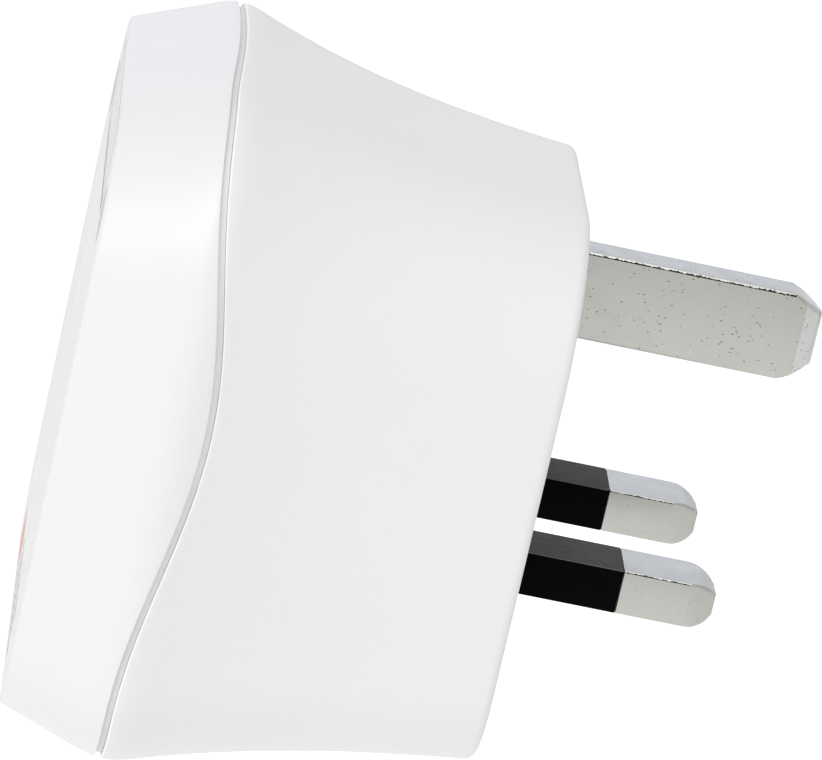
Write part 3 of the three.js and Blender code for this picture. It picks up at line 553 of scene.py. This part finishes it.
def case_back_material():
    """Fine-grained white shell whose rim, where it faces the seam, is smooth and carries a
    painted highlight that makes it bright.
    """
    made = moulded("case_back", (0.848, 0.848, 0.849), 0.55, grain_height=0.02 * MM, sheen=0.35)
    # Painted highlight: the colour is lightened where the surface faces the front, which is the rim at
    # the seam.
    rim = made.ramp(made.facing(1), -0.1, -0.35)
    made.set(Base_Color=made.mix(rim, base_colour(made), (0.995, 0.995, 0.995, 1)))
    return made.material


def case_front_material():
    """Smoother than the shell, with its marks printed on the flat face."""
    made = moulded("case_front", (0.86, 0.86, 0.86), 0.3, 0.5 * MM, 0.004 * MM, 0.5)
    made.set(Base_Color=print_marks(made, base_colour(made)))
    return made.material


def nickel_material(name, colour):
    """Nickel plate over brass: fine sandy grain, faint drawing lines along the pin, small pits,
    a painted highlight that makes the top brighter, and a ragged line along the shank's upper
    edges: painted shade, near black, below a painted highlight. The earth pin, which lies higher
    than the others, is pitted more and has a painted highlight on its bevel."""
    earth_from = 10 * MM
    pole_shank = 15.6 * MM
    earth_shank = 20.4 * MM
    made = Shader(name)
    drawn = made.noise(0.35 * MM, 3, 0.6, made.stretch((1, 0.05, 1)))
    patches = made.noise(2.2 * MM, 4, 0.6)
    grain = made.noise(0.14 * MM, 2, 0.7)
    on_earth = made.math("GREATER_THAN", made.axis(2), earth_from)
    up = made.facing(2)
    pit_size = made.math("MULTIPLY", made.ramp(made.noise(1.1 * MM, 2), 0.34, 0.58), 0.18)
    pits = made.math("LESS_THAN", made.cells(0.31 * MM, "F1", made.stretch((1, 0.45, 1))), pit_size)
    pit_shade = made.math("MULTIPLY", pits, made.ramp(on_earth, 0, 1, 0.3, 0.85))
    warm = (colour[0] * 1.015, colour[1] * 1.005, colour[2] * 0.98)
    shade = made.mix(patches, tint(colour, 0.95), tint(warm, 1.01))
    shade = made.mix(made.ramp(grain, 0.3, 0.7, 0.0, 0.12), shade, tint(colour, 0.35))
    # Painted highlight: faces that point up are lightened, on every pin.
    shade = made.mix(made.ramp(up, 0.9, 0.98), shade, (0.630, 0.632, 0.628, 1))
    # Painted highlight: on the earth pin, faces that point towards the pin's free end are lightened.
    bevel = made.math("MULTIPLY", on_earth, made.ramp(made.facing(1), 0.3, 0.5))
    shade = made.mix(bevel, shade, (0.68, 0.68, 0.67, 1))
    shade = made.mix(pit_shade, shade, tint(colour, 0.25))
    ragged = made.ramp(made.noise(0.3 * MM, 3, 0.8), 0.35, 0.65, 0.2, 0.85)
    shank = made.math(
        "MAXIMUM",
        made.math("LESS_THAN", made.axis(1), pole_shank),
        made.math("MULTIPLY", on_earth, made.math("LESS_THAN", made.axis(1), earth_shank)),
    )
    # A ragged line along the shank's upper edges: painted shade, near black, on its lower part and a
    # painted highlight on its upper part.
    edge_band = made.math("MULTIPLY", shank, made.band(up, 0.1, 0.93))
    dark = made.math("MULTIPLY", edge_band, made.ramp(made.math("SUBTRACT", ragged, up), -0.05, 0.05))
    bright = made.math("SUBTRACT", edge_band, dark)
    shade = made.mix(dark, shade, (0.03, 0.026, 0.02, 1))
    shade = made.mix(bright, shade, (0.97, 0.96, 0.93, 1))
    made.set(
        Base_Color=shade,
        Metallic=1.0,
        Roughness=made.ramp(patches, 0.3, 0.7, 0.3, 0.44),
    )
    made.bump((drawn, 0.008 * MM, 0.4), (grain, 0.006 * MM, 0.5), (patches, 0.04 * MM, 0.3))
    return made.material


def metal_material(name, colour, roughness=0.32):
    """Plain stamped or turned metal with fine scratches and dulled patches."""
    made = Shader(name)
    scratches = made.noise(0.12 * MM, 2, 0.6, made.stretch((1, 0.1, 0.4)))
    patches = made.noise(1.5 * MM, 3)
    made.set(
        Base_Color=made.mix(patches, tint(colour, 0.85), tint(colour, 1.1)),
        Metallic=1.0,
        Roughness=made.ramp(patches, 0.3, 0.7, roughness * 0.8, roughness * 1.25),
    )
    made.bump((scratches, 0.006 * MM, 0.6))
    return made.material


def sleeve_material():
    """Black insulation: satin nylon, scuffed along its length. Its tone is painted light: painted
    shade, near black, where it faces down or sideways, a lighter painted sheen with the scuffs
    in it where it faces up, and a painted highlight along its upper edges.
    """
    made = Shader("sleeve")
    scuffs = made.ramp(made.noise(0.3 * MM, 4, 0.65, made.stretch((1, 0.3, 1))), 0.35, 0.75)
    # Painted light: the tone follows how far the surface faces up.
    up = made.ramp(made.facing(2), 0.35, 0.9)
    edge = made.band(made.facing(2), 0.3, 0.85)
    scuffed_top_sheen = made.mix(scuffs, (0.060, 0.060, 0.061, 1), (0.092, 0.092, 0.094, 1))
    # Painted shade, near black, where it faces down or sideways; the scuffed painted sheen where it
    # faces up.
    shade = made.mix(up, (0.0006, 0.0006, 0.0006, 1), scuffed_top_sheen)
    made.set(
        # Painted highlight along the upper edges.
        Base_Color=made.mix(edge, shade, (0.115, 0.115, 0.117, 1)),
        Roughness=made.ramp(made.noise(1.2 * MM, 3), 0.3, 0.7, 0.5, 0.62),
        Specular_IOR_Level=0.04,
    )
    made.bump((made.noise(0.2 * MM, 3, 0.6), 0.01 * MM, 0.5), (scuffs, 0.01 * MM, 0.4))
    return made.material


def board_material():
    """Green solder mask over woven glass, with paler copper runs under it."""
    made = Shader("circuit_board")
    runs = made.ramp(made.cells(2.6 * MM, "DISTANCE_TO_EDGE"), 0.05, 0.09)
    weave = made.noise(0.3 * MM, 1)
    shade = made.mix(runs, (0.05, 0.22, 0.09, 1), (0.012, 0.09, 0.035, 1))
    made.set(Base_Color=shade, Roughness=made.ramp(weave, 0.3, 0.7, 0.3, 0.4))
    made.bump((weave, 0.01 * MM, 0.5), (runs, 0.03 * MM, 0.4))
    return made.material


def crystal_material():
    """The display glass: a grey-green cell, faintly mottled."""
    made = Shader("liquid_crystal")
    mottle = made.noise(1.2 * MM, 3)
    made.set(
        Base_Color=made.mix(mottle, (0.34, 0.39, 0.29, 1), (0.37, 0.42, 0.31, 1)),
        Roughness=made.ramp(made.noise(4 * MM, 2), 0.3, 0.7, 0.1, 0.16),
    )
    made.bump((mottle, 0.004 * MM, 0.3))
    return made.material


def window_material():
    """Clear moulded pane with fine rub marks."""
    made = Shader("display_window")
    rubs = made.noise(0.4 * MM, 4, 0.7, made.stretch((0.2, 1, 1)))
    made.set(
        Base_Color=made.mix(rubs, (0.95, 0.97, 0.96, 1), (0.99, 0.99, 0.99, 1)),
        Transmission_Weight=1.0,
        Roughness=made.ramp(rubs, 0.45, 0.8, 0.02, 0.09),
        IOR=1.49,
    )
    made.bump((rubs, 0.002 * MM, 0.3))
    return made.material


def ribbon_material():
    """Flat cable: pale sheath with the wires showing as dark lines along it."""
    made = Shader("ribbon_cable")
    wires = made.math("SINE", made.math("MULTIPLY", made.axis(0), math.tau / (1 * MM)))
    lines = made.ramp(wires, 0.2, 0.7)
    made.set(
        Base_Color=made.mix(lines, (0.62, 0.62, 0.6, 1), (0.3, 0.3, 0.3, 1)),
        Roughness=made.ramp(made.noise(1 * MM, 2), 0.3, 0.7, 0.4, 0.55),
    )
    made.bump((lines, 0.1 * MM, 0.6))
    return made.material


def plastic(name, colour, roughness):
    return moulded(name, colour, roughness).material


MATERIALS = {
    "case_back": case_back_material(),
    "case_front": case_front_material(),
    # The seam ledge is darker than the cover: painted shade in the groove between the two shells.
    "shaded_seam_ledge": moulded("shaded_seam_ledge", (0.77, 0.77, 0.775), 0.6, sheen=0.2).material,
    "nickel": nickel_material("nickel_plate", (0.585, 0.585, 0.555)),
    "sleeve": sleeve_material(),
    "fuse_drawer": plastic("fuse_drawer", (0.77, 0.775, 0.785), 0.5),
    "ceramic": plastic("fuse_ceramic", (0.78, 0.74, 0.64), 0.35),
    "fuse_brass": metal_material("fuse_brass", (0.78, 0.58, 0.28)),
    "contact_metal": metal_material("contact_bronze", (0.72, 0.47, 0.26)),
    "steel": metal_material("zinc_steel", (0.58, 0.59, 0.61)),
    "inner_plastic": plastic("inner_plastic", (0.66, 0.65, 0.61), 0.5),
    "board": board_material(),
    "chip": plastic("black_epoxy", (0.02, 0.02, 0.022), 0.45),
    "capacitor_box": plastic("capacitor_box", (0.62, 0.40, 0.05), 0.35),
    "capacitor_can": plastic("capacitor_sleeve", (0.03, 0.04, 0.07), 0.35),
    "varistor": plastic("varistor_coat", (0.03, 0.12, 0.36), 0.35),
    "liquid_crystal": crystal_material(),
    "window": window_material(),
    "key": plastic("key_plastic", (0.50, 0.52, 0.55), 0.45),
    "elastomer": plastic("elastomer", (0.42, 0.42, 0.42), 0.6),
    "ribbon": ribbon_material(),
}


# ---- Case -------------------------------------------------------------------------------------------

def rear_shell_skin():
    rows = [
        level(BACK_EDGE * (1 - s), BACK_EDGE * (1 - c))
        for s, c in reversed(quarter(6))
    ]
    rim = -SEAM_GAP / 2
    steps = 44
    start = rim - REAR_RIM_ROUND
    rows += [between(BACK_EDGE, 0, start, i / steps) for i in range(1, steps + 1)]
    rows += [
        at_seam(REAR_RIM_ROUND * (1 - c), start + REAR_RIM_ROUND * s) for s, c in quarter(5)[1:]
    ]
    pocket = TONGUE_INSET - 0.2 * MM
    pocket_end = -(TONGUE_REACH + 0.25 * MM)
    rows.append(at_seam(pocket, rim))
    rows.append(at_seam(pocket, pocket_end))
    rows.append(at_seam(WALL, pocket_end))
    inner_steps = 10
    rows += [
        between(BACK_WALL, WALL, pocket_end, i / inner_steps, WALL)
        for i in reversed(range(inner_steps))
    ]
    return skin("rear_shell_visual", rows)


def add_screw_post(shell, name):
    """A post behind the back wall, bored for its screw: a chamfered mouth, a seat for the head
    and a hole for the thread."""
    post = 3.9 * MM
    post_end = 16 * MM
    head_height = 1.9 * MM
    head_clearance = 0.35 * MM
    mouth = 0.3 * MM
    thread = 1.6 * MM
    hole_end = 20 * MM
    outside = -1 * MM
    low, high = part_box(name)
    x, z = middle(name).x, middle(name).z
    seat = head_height - high.y
    bore = (high.x - low.x) / 2 + head_clearance
    carve(shell, "UNION", turned("post", x, z, [
        (0, BACK_WALL / 2), (post, BACK_WALL / 2), (post, post_end), (0, post_end),
    ]))
    carve(shell, "DIFFERENCE", turned("hole", x, z, [
        (0, outside), (bore + mouth - outside, outside), (bore + mouth, -0.001 * MM),
        (bore, mouth), (bore, seat), (thread, seat), (thread, hole_end), (0, hole_end),
    ]))


def build_rear_shell():
    shell = rear_shell_skin()
    for name in frame["nodes"]:
        if name.startswith("case_screw"):
            add_screw_post(shell, name)
    for name, slack in (
        ("earth_pin", 0.05 * MM), ("line_pin_sleeve", 0.05 * MM), ("neutral_pin_sleeve", 0.05 * MM),
        ("fuse_drawer", 0.2 * MM),
    ):
        centre, half = section(name, -0.01 * MM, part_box(name)[1].y)
        outline = rounded_rectangle(*centre, half[0] + slack, half[1] + slack, 0.15 * MM, 3)
        carve(shell, "DIFFERENCE", prism("opening", outline, -1 * MM, BACK_WALL + 1 * MM))
    smooth_by_angle(shell, SMOOTH_DEGREES)
    stand_for(shell, "case", "case_back", "rear_shell")


def front_cover_skin():
    front = BODY_DEPTH
    rows = [
        level(front - FACE_EDGE * (1 - s), FACE_EDGE * (1 - c))
        for s, c in reversed(quarter(6))
    ]
    rim = SEAM_GAP / 2
    steps = 40
    rows += [
        between(front - FACE_EDGE, 0, rim + COVER_RIM_ROUND, i / steps)
        for i in range(1, steps + 1)
    ]
    rows += [
        at_seam(COVER_RIM_ROUND * (1 - c), rim + COVER_RIM_ROUND * (1 - s))
        for s, c in quarter(3)[1:]
    ]
    ledge_end = LEDGE_CLEARANCE - SEAM_GAP / 2
    # The ledge rows take the second, darker material: painted shade in the seam groove.
    ledge = len(rows)
    rows.append(at_seam(LEDGE_INSET, rim))
    rows.append(at_seam(LEDGE_INSET, ledge_end))
    rows.append(at_seam(TONGUE_INSET, ledge_end))
    rows.append(at_seam(TONGUE_INSET, -TONGUE_REACH))
    rows.append(at_seam(WALL, -TONGUE_REACH))
    inner_steps = 10
    inside = front - WALL
    rows += [
        between(inside, WALL, -TONGUE_REACH, i / inner_steps, WALL)
        for i in reversed(range(inner_steps))
    ]
    return skin("front_cover_visual", rows, second_finish=(ledge - 1, ledge + 2))


def entry_outlines():
    """The socket's entries: an upright slot for earth above two level ones for the poles."""
    earth_z = middle("earth_contact").z
    pole = middle("line_contact")
    return [
        rounded_rectangle(pole.x, pole.z, *POLE_ENTRY, 0.3 * MM),
        rounded_rectangle(-pole.x, pole.z, *POLE_ENTRY, 0.3 * MM),
        rounded_rectangle(0, earth_z, *EARTH_ENTRY, 0.3 * MM),
    ]


def build_front_cover():
    pane_gap = 0.06 * MM
    pane_corner = 1.2 * MM
    key_hole = 2.5 * MM
    entry_chamfer = 0.2 * MM
    cover = front_cover_skin()
    paint(cover, "case_front", "shaded_seam_ledge")
    inside = BODY_DEPTH - WALL
    for outline in entry_outlines():
        carve(cover, "DIFFERENCE", prism("entry", outline, inside - MM, BODY_DEPTH, entry_chamfer))
    low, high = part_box("display_window")
    half_x = (high.x - low.x) / 2 + pane_gap
    half_z = (high.z - low.z) / 2 + pane_gap
    pane = rounded_rectangle(0, middle("display_window").z, half_x, half_z, pane_corner + pane_gap)
    carve(cover, "DIFFERENCE", prism("pane", pane, inside - MM, BODY_DEPTH + MM))
    for name in ("mode_key", "set_key"):
        centre = middle(name)
        hole = circle(centre.x, centre.z, key_hole)
        carve(cover, "DIFFERENCE", prism("key_hole", hole, inside - MM, BODY_DEPTH + MM))
    smooth_by_angle(cover, SMOOTH_DEGREES)
    stand_for(cover, "case", "case_front", "front_cover")


def key_profile(stem_end):
    """Radius and depth points of a key: stem, flange, then a rim rounded into a shallow dish."""
    stem = 1.2 * MM
    flange = 3.2 * MM
    flange_height = 0.8 * MM
    rim = 2.4 * MM
    rim_round = 0.1 * MM
    dish = 2.1 * MM
    sag = 0.05 * MM
    dish_steps = 8
    flange_front = BODY_DEPTH - WALL - 0.1 * MM
    profile = [
        (0, stem_end), (stem, stem_end), (stem, flange_front - flange_height),
        (flange, flange_front - flange_height), (flange, flange_front), (rim, flange_front),
    ]
    profile += [
        (rim - rim_round * (1 - c), BODY_DEPTH - rim_round * (1 - s)) for s, c in quarter(6)
    ]
    for i in range(dish_steps + 1):
        share = 1 - i / dish_steps
        profile.append((dish * share, BODY_DEPTH - sag * (1 - share ** 2)))
    return profile


def build_keys():
    """The two keys, flush with the face."""
    for name in ("mode_key", "set_key"):
        centre = middle(name)
        profile = key_profile(-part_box(name)[1].y)
        key = turned(name + "_visual", centre.x, centre.z, profile)
        smooth_by_angle(key, 35)
        stand_for(key, name, "key", name)


# ---- Pins -----------------------------------------------------------------------------------------

# How a pin's free end narrows: length, drop on each side, and bulge (1 a straight chamfer, 2 a
# quarter of an ellipse), over its height and over its width.
EARTH_TIP = ((2.6 * MM, 1.4 * MM, 1.15), (1.5 * MM, 1.1 * MM, 1.2))
POLE_TIP = ((1.7 * MM, 0.85 * MM, 1.4), (2.4 * MM, 1.5 * MM, 1.6))
EARTH_EDGE = 0.27 * MM
POLE_EDGE = 0.17 * MM
SLEEVE_WALL = 0.4 * MM
FIT = 0.05 * MM


def bar_row(centre, half, radius, y, shrink=(0.0, 0.0)):
    outline = rounded_rectangle(*centre, half[0] - shrink[0], half[1] - shrink[1], radius, 5)
    return [(x, y, z) for x, z in outline]


def narrowing(tip, from_end):
    """How much a side has dropped at a distance from the free end."""
    length, drop, bulge = tip
    share = 1 - min(from_end / length, 1)
    return drop * (1 - (1 - share ** bulge) ** (1 / bulge))


def tip_rows(centre, half, tips, end, edge):
    """Rows over a pin's free end, closer together towards the end. The corners of the section
    grow rounder on the way."""
    over_height, over_width = tips
    longest = max(over_height[0], over_width[0])
    growth = 1.2
    rows = []
    steps = 26
    for i in range(steps):
        from_end = longest * math.cos(math.pi / 2 * i / steps) ** 2
        shrink = (narrowing(over_width, from_end), narrowing(over_height, from_end))
        radius = edge * (1 + growth * (1 - from_end / longest))
        rows.append(bar_row(centre, half, radius, end - edge - from_end, shrink))
    last = (over_width[1], over_height[1])
    for s, c in quarter(4)[1:]:
        inwards = edge * (1 - c)
        shrink = (last[0] + inwards, last[1] + inwards)
        radius = edge * (1 + growth) - inwards
        rows.append(bar_row(centre, half, radius, end - edge + edge * s, shrink))
    return rows


def flange_rows(name, centre, half, edge):
    """Rows from a pin's inner end over its flange, and the flange's outer face."""
    inner_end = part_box(name)[0].y
    points = [v.co for v in frame["nodes"][name].data.vertices]
    wide = max(p.x for p in points) - centre[0]
    flange = [p.y for p in points if p.x > centre[0] + wide - FIT]
    grow = (half[0] - wide, half[0] - wide)
    chamfer = 0.1 * MM
    rows = [
        bar_row(centre, half, edge, inner_end, (chamfer, chamfer)),
        bar_row(centre, half, edge, inner_end + chamfer),
        bar_row(centre, half, edge, min(flange)),
        bar_row(centre, half, edge, min(flange), grow),
        bar_row(centre, half, edge, max(flange), grow),
    ]
    return rows, max(flange)


def build_earth_pin():
    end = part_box("earth_pin")[1].y
    centre, half = section("earth_pin", 0, end)
    rows, flange_face = flange_rows("earth_pin", centre, half, EARTH_EDGE)
    rows.append(bar_row(centre, half, EARTH_EDGE, flange_face))
    rows.append(bar_row(centre, half, EARTH_EDGE, 0))
    rows += tip_rows(centre, half, EARTH_TIP, end, EARTH_EDGE)
    pin = skin("earth_pin_visual", rows)
    smooth_by_angle(pin, 30)
    stand_for(pin, "case", "nickel", "earth_pin")


def build_pole_pin(name):
    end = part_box(name)[1].y
    sleeve_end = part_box(name + "_sleeve")[1].y
    centre, half = section(name, sleeve_end, end)
    neck = SLEEVE_WALL + FIT
    shoulder = sleeve_end + 0.02 * MM
    round_off = 0.04 * MM
    rows, flange_face = flange_rows(name, centre, half, POLE_EDGE)
    rows.append(bar_row(centre, half, POLE_EDGE, flange_face, (neck, neck)))
    rows.append(bar_row(centre, half, POLE_EDGE, shoulder, (neck, neck)))
    rows.append(bar_row(centre, half, POLE_EDGE, shoulder, (round_off, round_off)))
    rows.append(bar_row(centre, half, POLE_EDGE, shoulder + round_off))
    rows += tip_rows(centre, half, POLE_TIP, end, POLE_EDGE)
    pin = skin(name + "_visual", rows)
    smooth_by_angle(pin, 30)
    stand_for(pin, "case", "nickel", name)


def build_sleeve(name):
    """A thin tube whose outer end is trimmed a little unevenly, as heat leaves it."""
    corner = 0.15 * MM
    plain_end = 0.1 * MM
    end_round = 0.05 * MM
    unevenness = 0.03 * MM
    steps = 8
    low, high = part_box(name)
    centre, half = section(name, low.y, high.y)
    plain = high.y - plain_end - low.y
    rows = [bar_row(centre, half, corner, low.y + plain * i / steps) for i in range(steps + 1)]
    rounded = (end_round, end_round)
    bore = (SLEEVE_WALL, SLEEVE_WALL)
    trimmed = [
        bar_row(centre, half, corner, high.y - end_round),
        bar_row(centre, half, corner, high.y, rounded),
        bar_row(centre, half, corner, high.y, bore),
    ]
    for row in trimmed:
        for i, (x, y, z) in enumerate(row):
            row[i] = (x, y - unevenness * (1 + math.sin(i * 2.3 + low.x / MM)), z)
    rows += trimmed
    rows.append(bar_row(centre, half, corner, low.y, bore))
    sleeve = skin(name + "_visual", rows, tube=True)
    smooth_by_angle(sleeve, 30)
    stand_for(sleeve, "case", "sleeve", name)


# ---- Shutter spring -------------------------------------------------------------------------------

def build_spring():
    """The shutter's return spring, wound upright."""
    low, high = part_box("shutter_spring")
    centre = (low + high) / 2
    wire = 0.15 * MM
    radius = (high.x - low.x) / 2 - wire
    height = high.z - low.z
    turns = 8
    steps = turns * 28
    rows = []
    for i in range(steps + 1):
        angle = math.tau * turns * i / steps
        outwards = Vector((math.cos(angle), math.sin(angle), 0))
        along = Vector((centre.x, centre.y, low.z + wire + (height - 2 * wire) * i / steps))
        along += outwards * radius
        ring = circle(0, 0, wire, 12)
        rows.append([tuple(along + outwards * u + Vector((0, 0, v))) for u, v in ring])
    spring = skin("shutter_spring_visual", rows)
    smooth_by_angle(spring, 50)
    stand_for(spring, "case", "steel", "shutter_spring")
    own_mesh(spring)


# ---- Display --------------------------------------------------------------------------------------

# Each segment's place, in arm lengths from the digit's middle, and whether it lies flat.
SEGMENTS = {
    "a": (0, 1, True), "b": (0.5, 0.5, False), "c": (0.5, -0.5, False), "d": (0, -1, True),
    "e": (-0.5, -0.5, False), "f": (-0.5, 0.5, False), "g": (0, 0, True),
}
DIGITS = {
    "0": "abcdef", "1": "bc", "2": "abged", "3": "abgcd", "4": "fgbc",
    "5": "afgcd", "6": "afgedc", "7": "abc", "8": "abcdefg", "9": "abcdfg",
}


def segment_bar(x, z, length, width, flat):
    """A six-sided bar of a digit, as X and Z points."""
    half = length / 2
    tip = width / 2
    bar = [
        (-half, 0), (tip - half, -tip), (half - tip, -tip),
        (half, 0), (half - tip, tip), (tip - half, tip),
    ]
    return [(x + u, z + v) if flat else (x + v, z + u) for u, v in bar]


def build_digits(text):
    """Seven-segment numerals printed inside the display cell, as a thin raised layer."""
    height = 4.2 * MM
    stroke = 0.5 * MM
    layer = 0.02 * MM
    slant = 0.08
    low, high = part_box("liquid_crystal")
    face = -low.y
    centre_z = (low.z + high.z) / 2
    arm = height / 2
    pitch = height * 0.78
    start = -pitch * (len(text) - 1) / 2
    made = bmesh.new()
    for place, digit in enumerate(text):
        for key in DIGITS[digit]:
            u, v, flat = SEGMENTS[key]
            lean = slant * v * arm
            bar = segment_bar(
                start + pitch * place + u * arm + lean, centre_z + v * arm,
                arm * 0.92, stroke, flat,
            )
            bottom = [made.verts.new((x, -face, z)) for x, z in bar]
            top = [made.verts.new((x, -face - layer, z)) for x, z in bar]
            made.faces.new(top)
            made.faces.new(list(reversed(bottom)))
            for i in range(6):
                j = (i + 1) % 6
                made.faces.new([bottom[i], bottom[j], top[j], top[i]])
    bmesh.ops.recalc_face_normals(made, faces=made.faces)
    mesh = bpy.data.meshes.new("display_digits")
    made.to_mesh(mesh)
    made.free()
    digits = link("display_digits", mesh)
    digits.data.materials.append(plastic("display_ink", (0.03, 0.035, 0.03), 0.4))
    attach(digits, "case")


# ---- CAD nodes that keep their own shape -----------------------------------------------------------

# Edge rounding in millimetres.
PLAIN_EDGE_ROUND = 0.08
EDGE_ROUNDS = {
    "fuse_drawer": 0.18, "shutter": 0.2, "socket_housing": 0.2, "pin_carrier": 0.2,
    "mains_capacitor": 0.5, "display_window": 0.03, "metering_chip": 0.15,
    "controller_chip": 0.1, "storage_capacitor": 0.5, "backup_cell": 0.6,
}


def finish_cad_node(name, node, slot):
    node.data.materials.clear()
    node.data.materials.append(MATERIALS[slot])
    weld = node.modifiers.new("weld", "WELD")
    weld.merge_threshold = 0.002 * MM
    round_off = node.modifiers.new("edges", "BEVEL")
    round_off.width = EDGE_ROUNDS.get(name, PLAIN_EDGE_ROUND) * MM
    round_off.segments = 3
    round_off.limit_method = "ANGLE"
    round_off.angle_limit = math.radians(35)
    round_off.harden_normals = False
    node.data.polygons.foreach_set("use_smooth", [True] * len(node.data.polygons))
    shade = node.modifiers.new("shade", "WEIGHTED_NORMAL")
    shade.keep_sharp = True


def finish_cad_nodes():
    for part in frame["record"]["subparts"]:
        node = frame["nodes"][part["node"]]
        if not node.hide_render:
            finish_cad_node(part["node"], node, part["material_slot"])


# ---- Stage ------------------------------------------------------------------------------------------

CAMERA_AIM = Vector((3.1, -11.3, 11.8)) * MM
CAMERA_AZIMUTH = 84.81
CAMERA_ELEVATION = 16.71
CAMERA_ROLL = 12.96
CAMERA_DISTANCE = 500 * MM
CAMERA_LENS = 248.45


def direction(azimuth, elevation):
    """From the object towards a viewer. Azimuth 0 looks at the front face, 90 at the right side."""
    a, e = math.radians(azimuth), math.radians(elevation)
    return Vector((math.sin(a) * math.cos(e), -math.cos(a) * math.cos(e), math.sin(e)))


def add_camera():
    data = bpy.data.cameras.new("camera")
    data.lens = CAMERA_LENS
    data.sensor_width = 36
    data.clip_start = 0.01
    data.clip_end = 50
    camera = bpy.data.objects.new("camera", data)
    bpy.context.scene.collection.objects.link(camera)
    back = direction(CAMERA_AZIMUTH, CAMERA_ELEVATION)
    turn = (-back).to_track_quat("-Z", "Y").to_matrix().to_4x4()
    roll = Matrix.Rotation(math.radians(CAMERA_ROLL), 4, "Z")
    camera.matrix_world = Matrix.Translation(CAMERA_AIM + back * CAMERA_DISTANCE) @ turn @ roll
    bpy.context.scene.camera = camera


def add_light(name, azimuth, elevation, distance, size, power):
    """A soft square light that faces the object."""
    data = bpy.data.lights.new(name, "AREA")
    data.size = size
    data.energy = power
    light = bpy.data.objects.new(name, data)
    bpy.context.scene.collection.objects.link(light)
    back = direction(azimuth, elevation)
    light.location = CAMERA_AIM + back * distance
    light.rotation_euler = (-back).to_track_quat("-Z", "Y").to_euler()
    light.visible_camera = False


def add_floor():
    size = 6.0
    drop = 0.25
    mesh = bpy.data.meshes.new("floor")
    mesh.from_pydata(
        [(-size, -size, -drop), (size, -size, -drop), (size, size, -drop), (-size, size, -drop)],
        [], [[0, 1, 2, 3]],
    )
    floor = link("floor", mesh)
    made = Shader("floor_paper")
    paper = made.noise(2 * MM, 3)
    made.set(
        Base_Color=made.mix(paper, (0.93, 0.93, 0.93, 1), (0.95, 0.95, 0.95, 1)),
        Roughness=0.9,
        Emission_Color=(1, 1, 1, 1),
        Emission_Strength=made.ramp(made.seen_directly(), 0, 1, 0.2, 0.5),
    )
    made.bump((paper, 0.05 * MM, 0.2))
    floor.data.materials.append(made.material)


def add_world():
    """A white studio: brighter and cooler behind the object, plain white to the camera."""
    world = bpy.data.worlds.new("studio")
    world.use_nodes = True
    tree = world.node_tree
    backdrop = tree.nodes["Background"]
    towards = tree.nodes.new("ShaderNodeTexCoord").outputs["Generated"]
    parts = tree.nodes.new("ShaderNodeSeparateXYZ")
    tree.links.new(towards, parts.inputs["Vector"])
    behind = tree.nodes.new("ShaderNodeMapRange")
    behind.interpolation_type = "SMOOTHSTEP"
    behind.inputs["From Min"].default_value = -0.55
    behind.inputs["From Max"].default_value = -0.95
    tree.links.new(parts.outputs["X"], behind.inputs["Value"])
    light = tree.nodes.new("ShaderNodeMix")
    light.data_type = "RGBA"
    light.inputs["A"].default_value = (0.62, 0.62, 0.62, 1)
    light.inputs["B"].default_value = (0.88, 0.92, 0.99, 1)
    tree.links.new(behind.outputs["Result"], light.inputs["Factor"])
    seen = tree.nodes.new("ShaderNodeMix")
    seen.data_type = "RGBA"
    seen.inputs["B"].default_value = (1, 1, 1, 1)
    path = tree.nodes.new("ShaderNodeLightPath")
    tree.links.new(path.outputs["Is Camera Ray"], seen.inputs["Factor"])
    tree.links.new(light.outputs["Result"], seen.inputs["A"])
    tree.links.new(seen.outputs["Result"], backdrop.inputs["Color"])
    bpy.context.scene.world = world


def set_stage():
    add_floor()
    add_world()
    add_light("key", 58, 42, 1.2, 0.9, 5.35)
    add_light("upper", 75, 70, 1.2, 0.9, 1.3)
    add_camera()
    bpy.context.scene.view_settings.view_transform = "Standard"


# ---- Build ------------------------------------------------------------------------------------------

build_rear_shell()
build_front_cover()
build_keys()
build_earth_pin()
for pole in ("line_pin", "neutral_pin"):
    build_pole_pin(pole)
    build_sleeve(pole + "_sleeve")
build_spring()
build_digits("0230")
finish_cad_nodes()
set_stage()

bpy.context.view_layer.update()
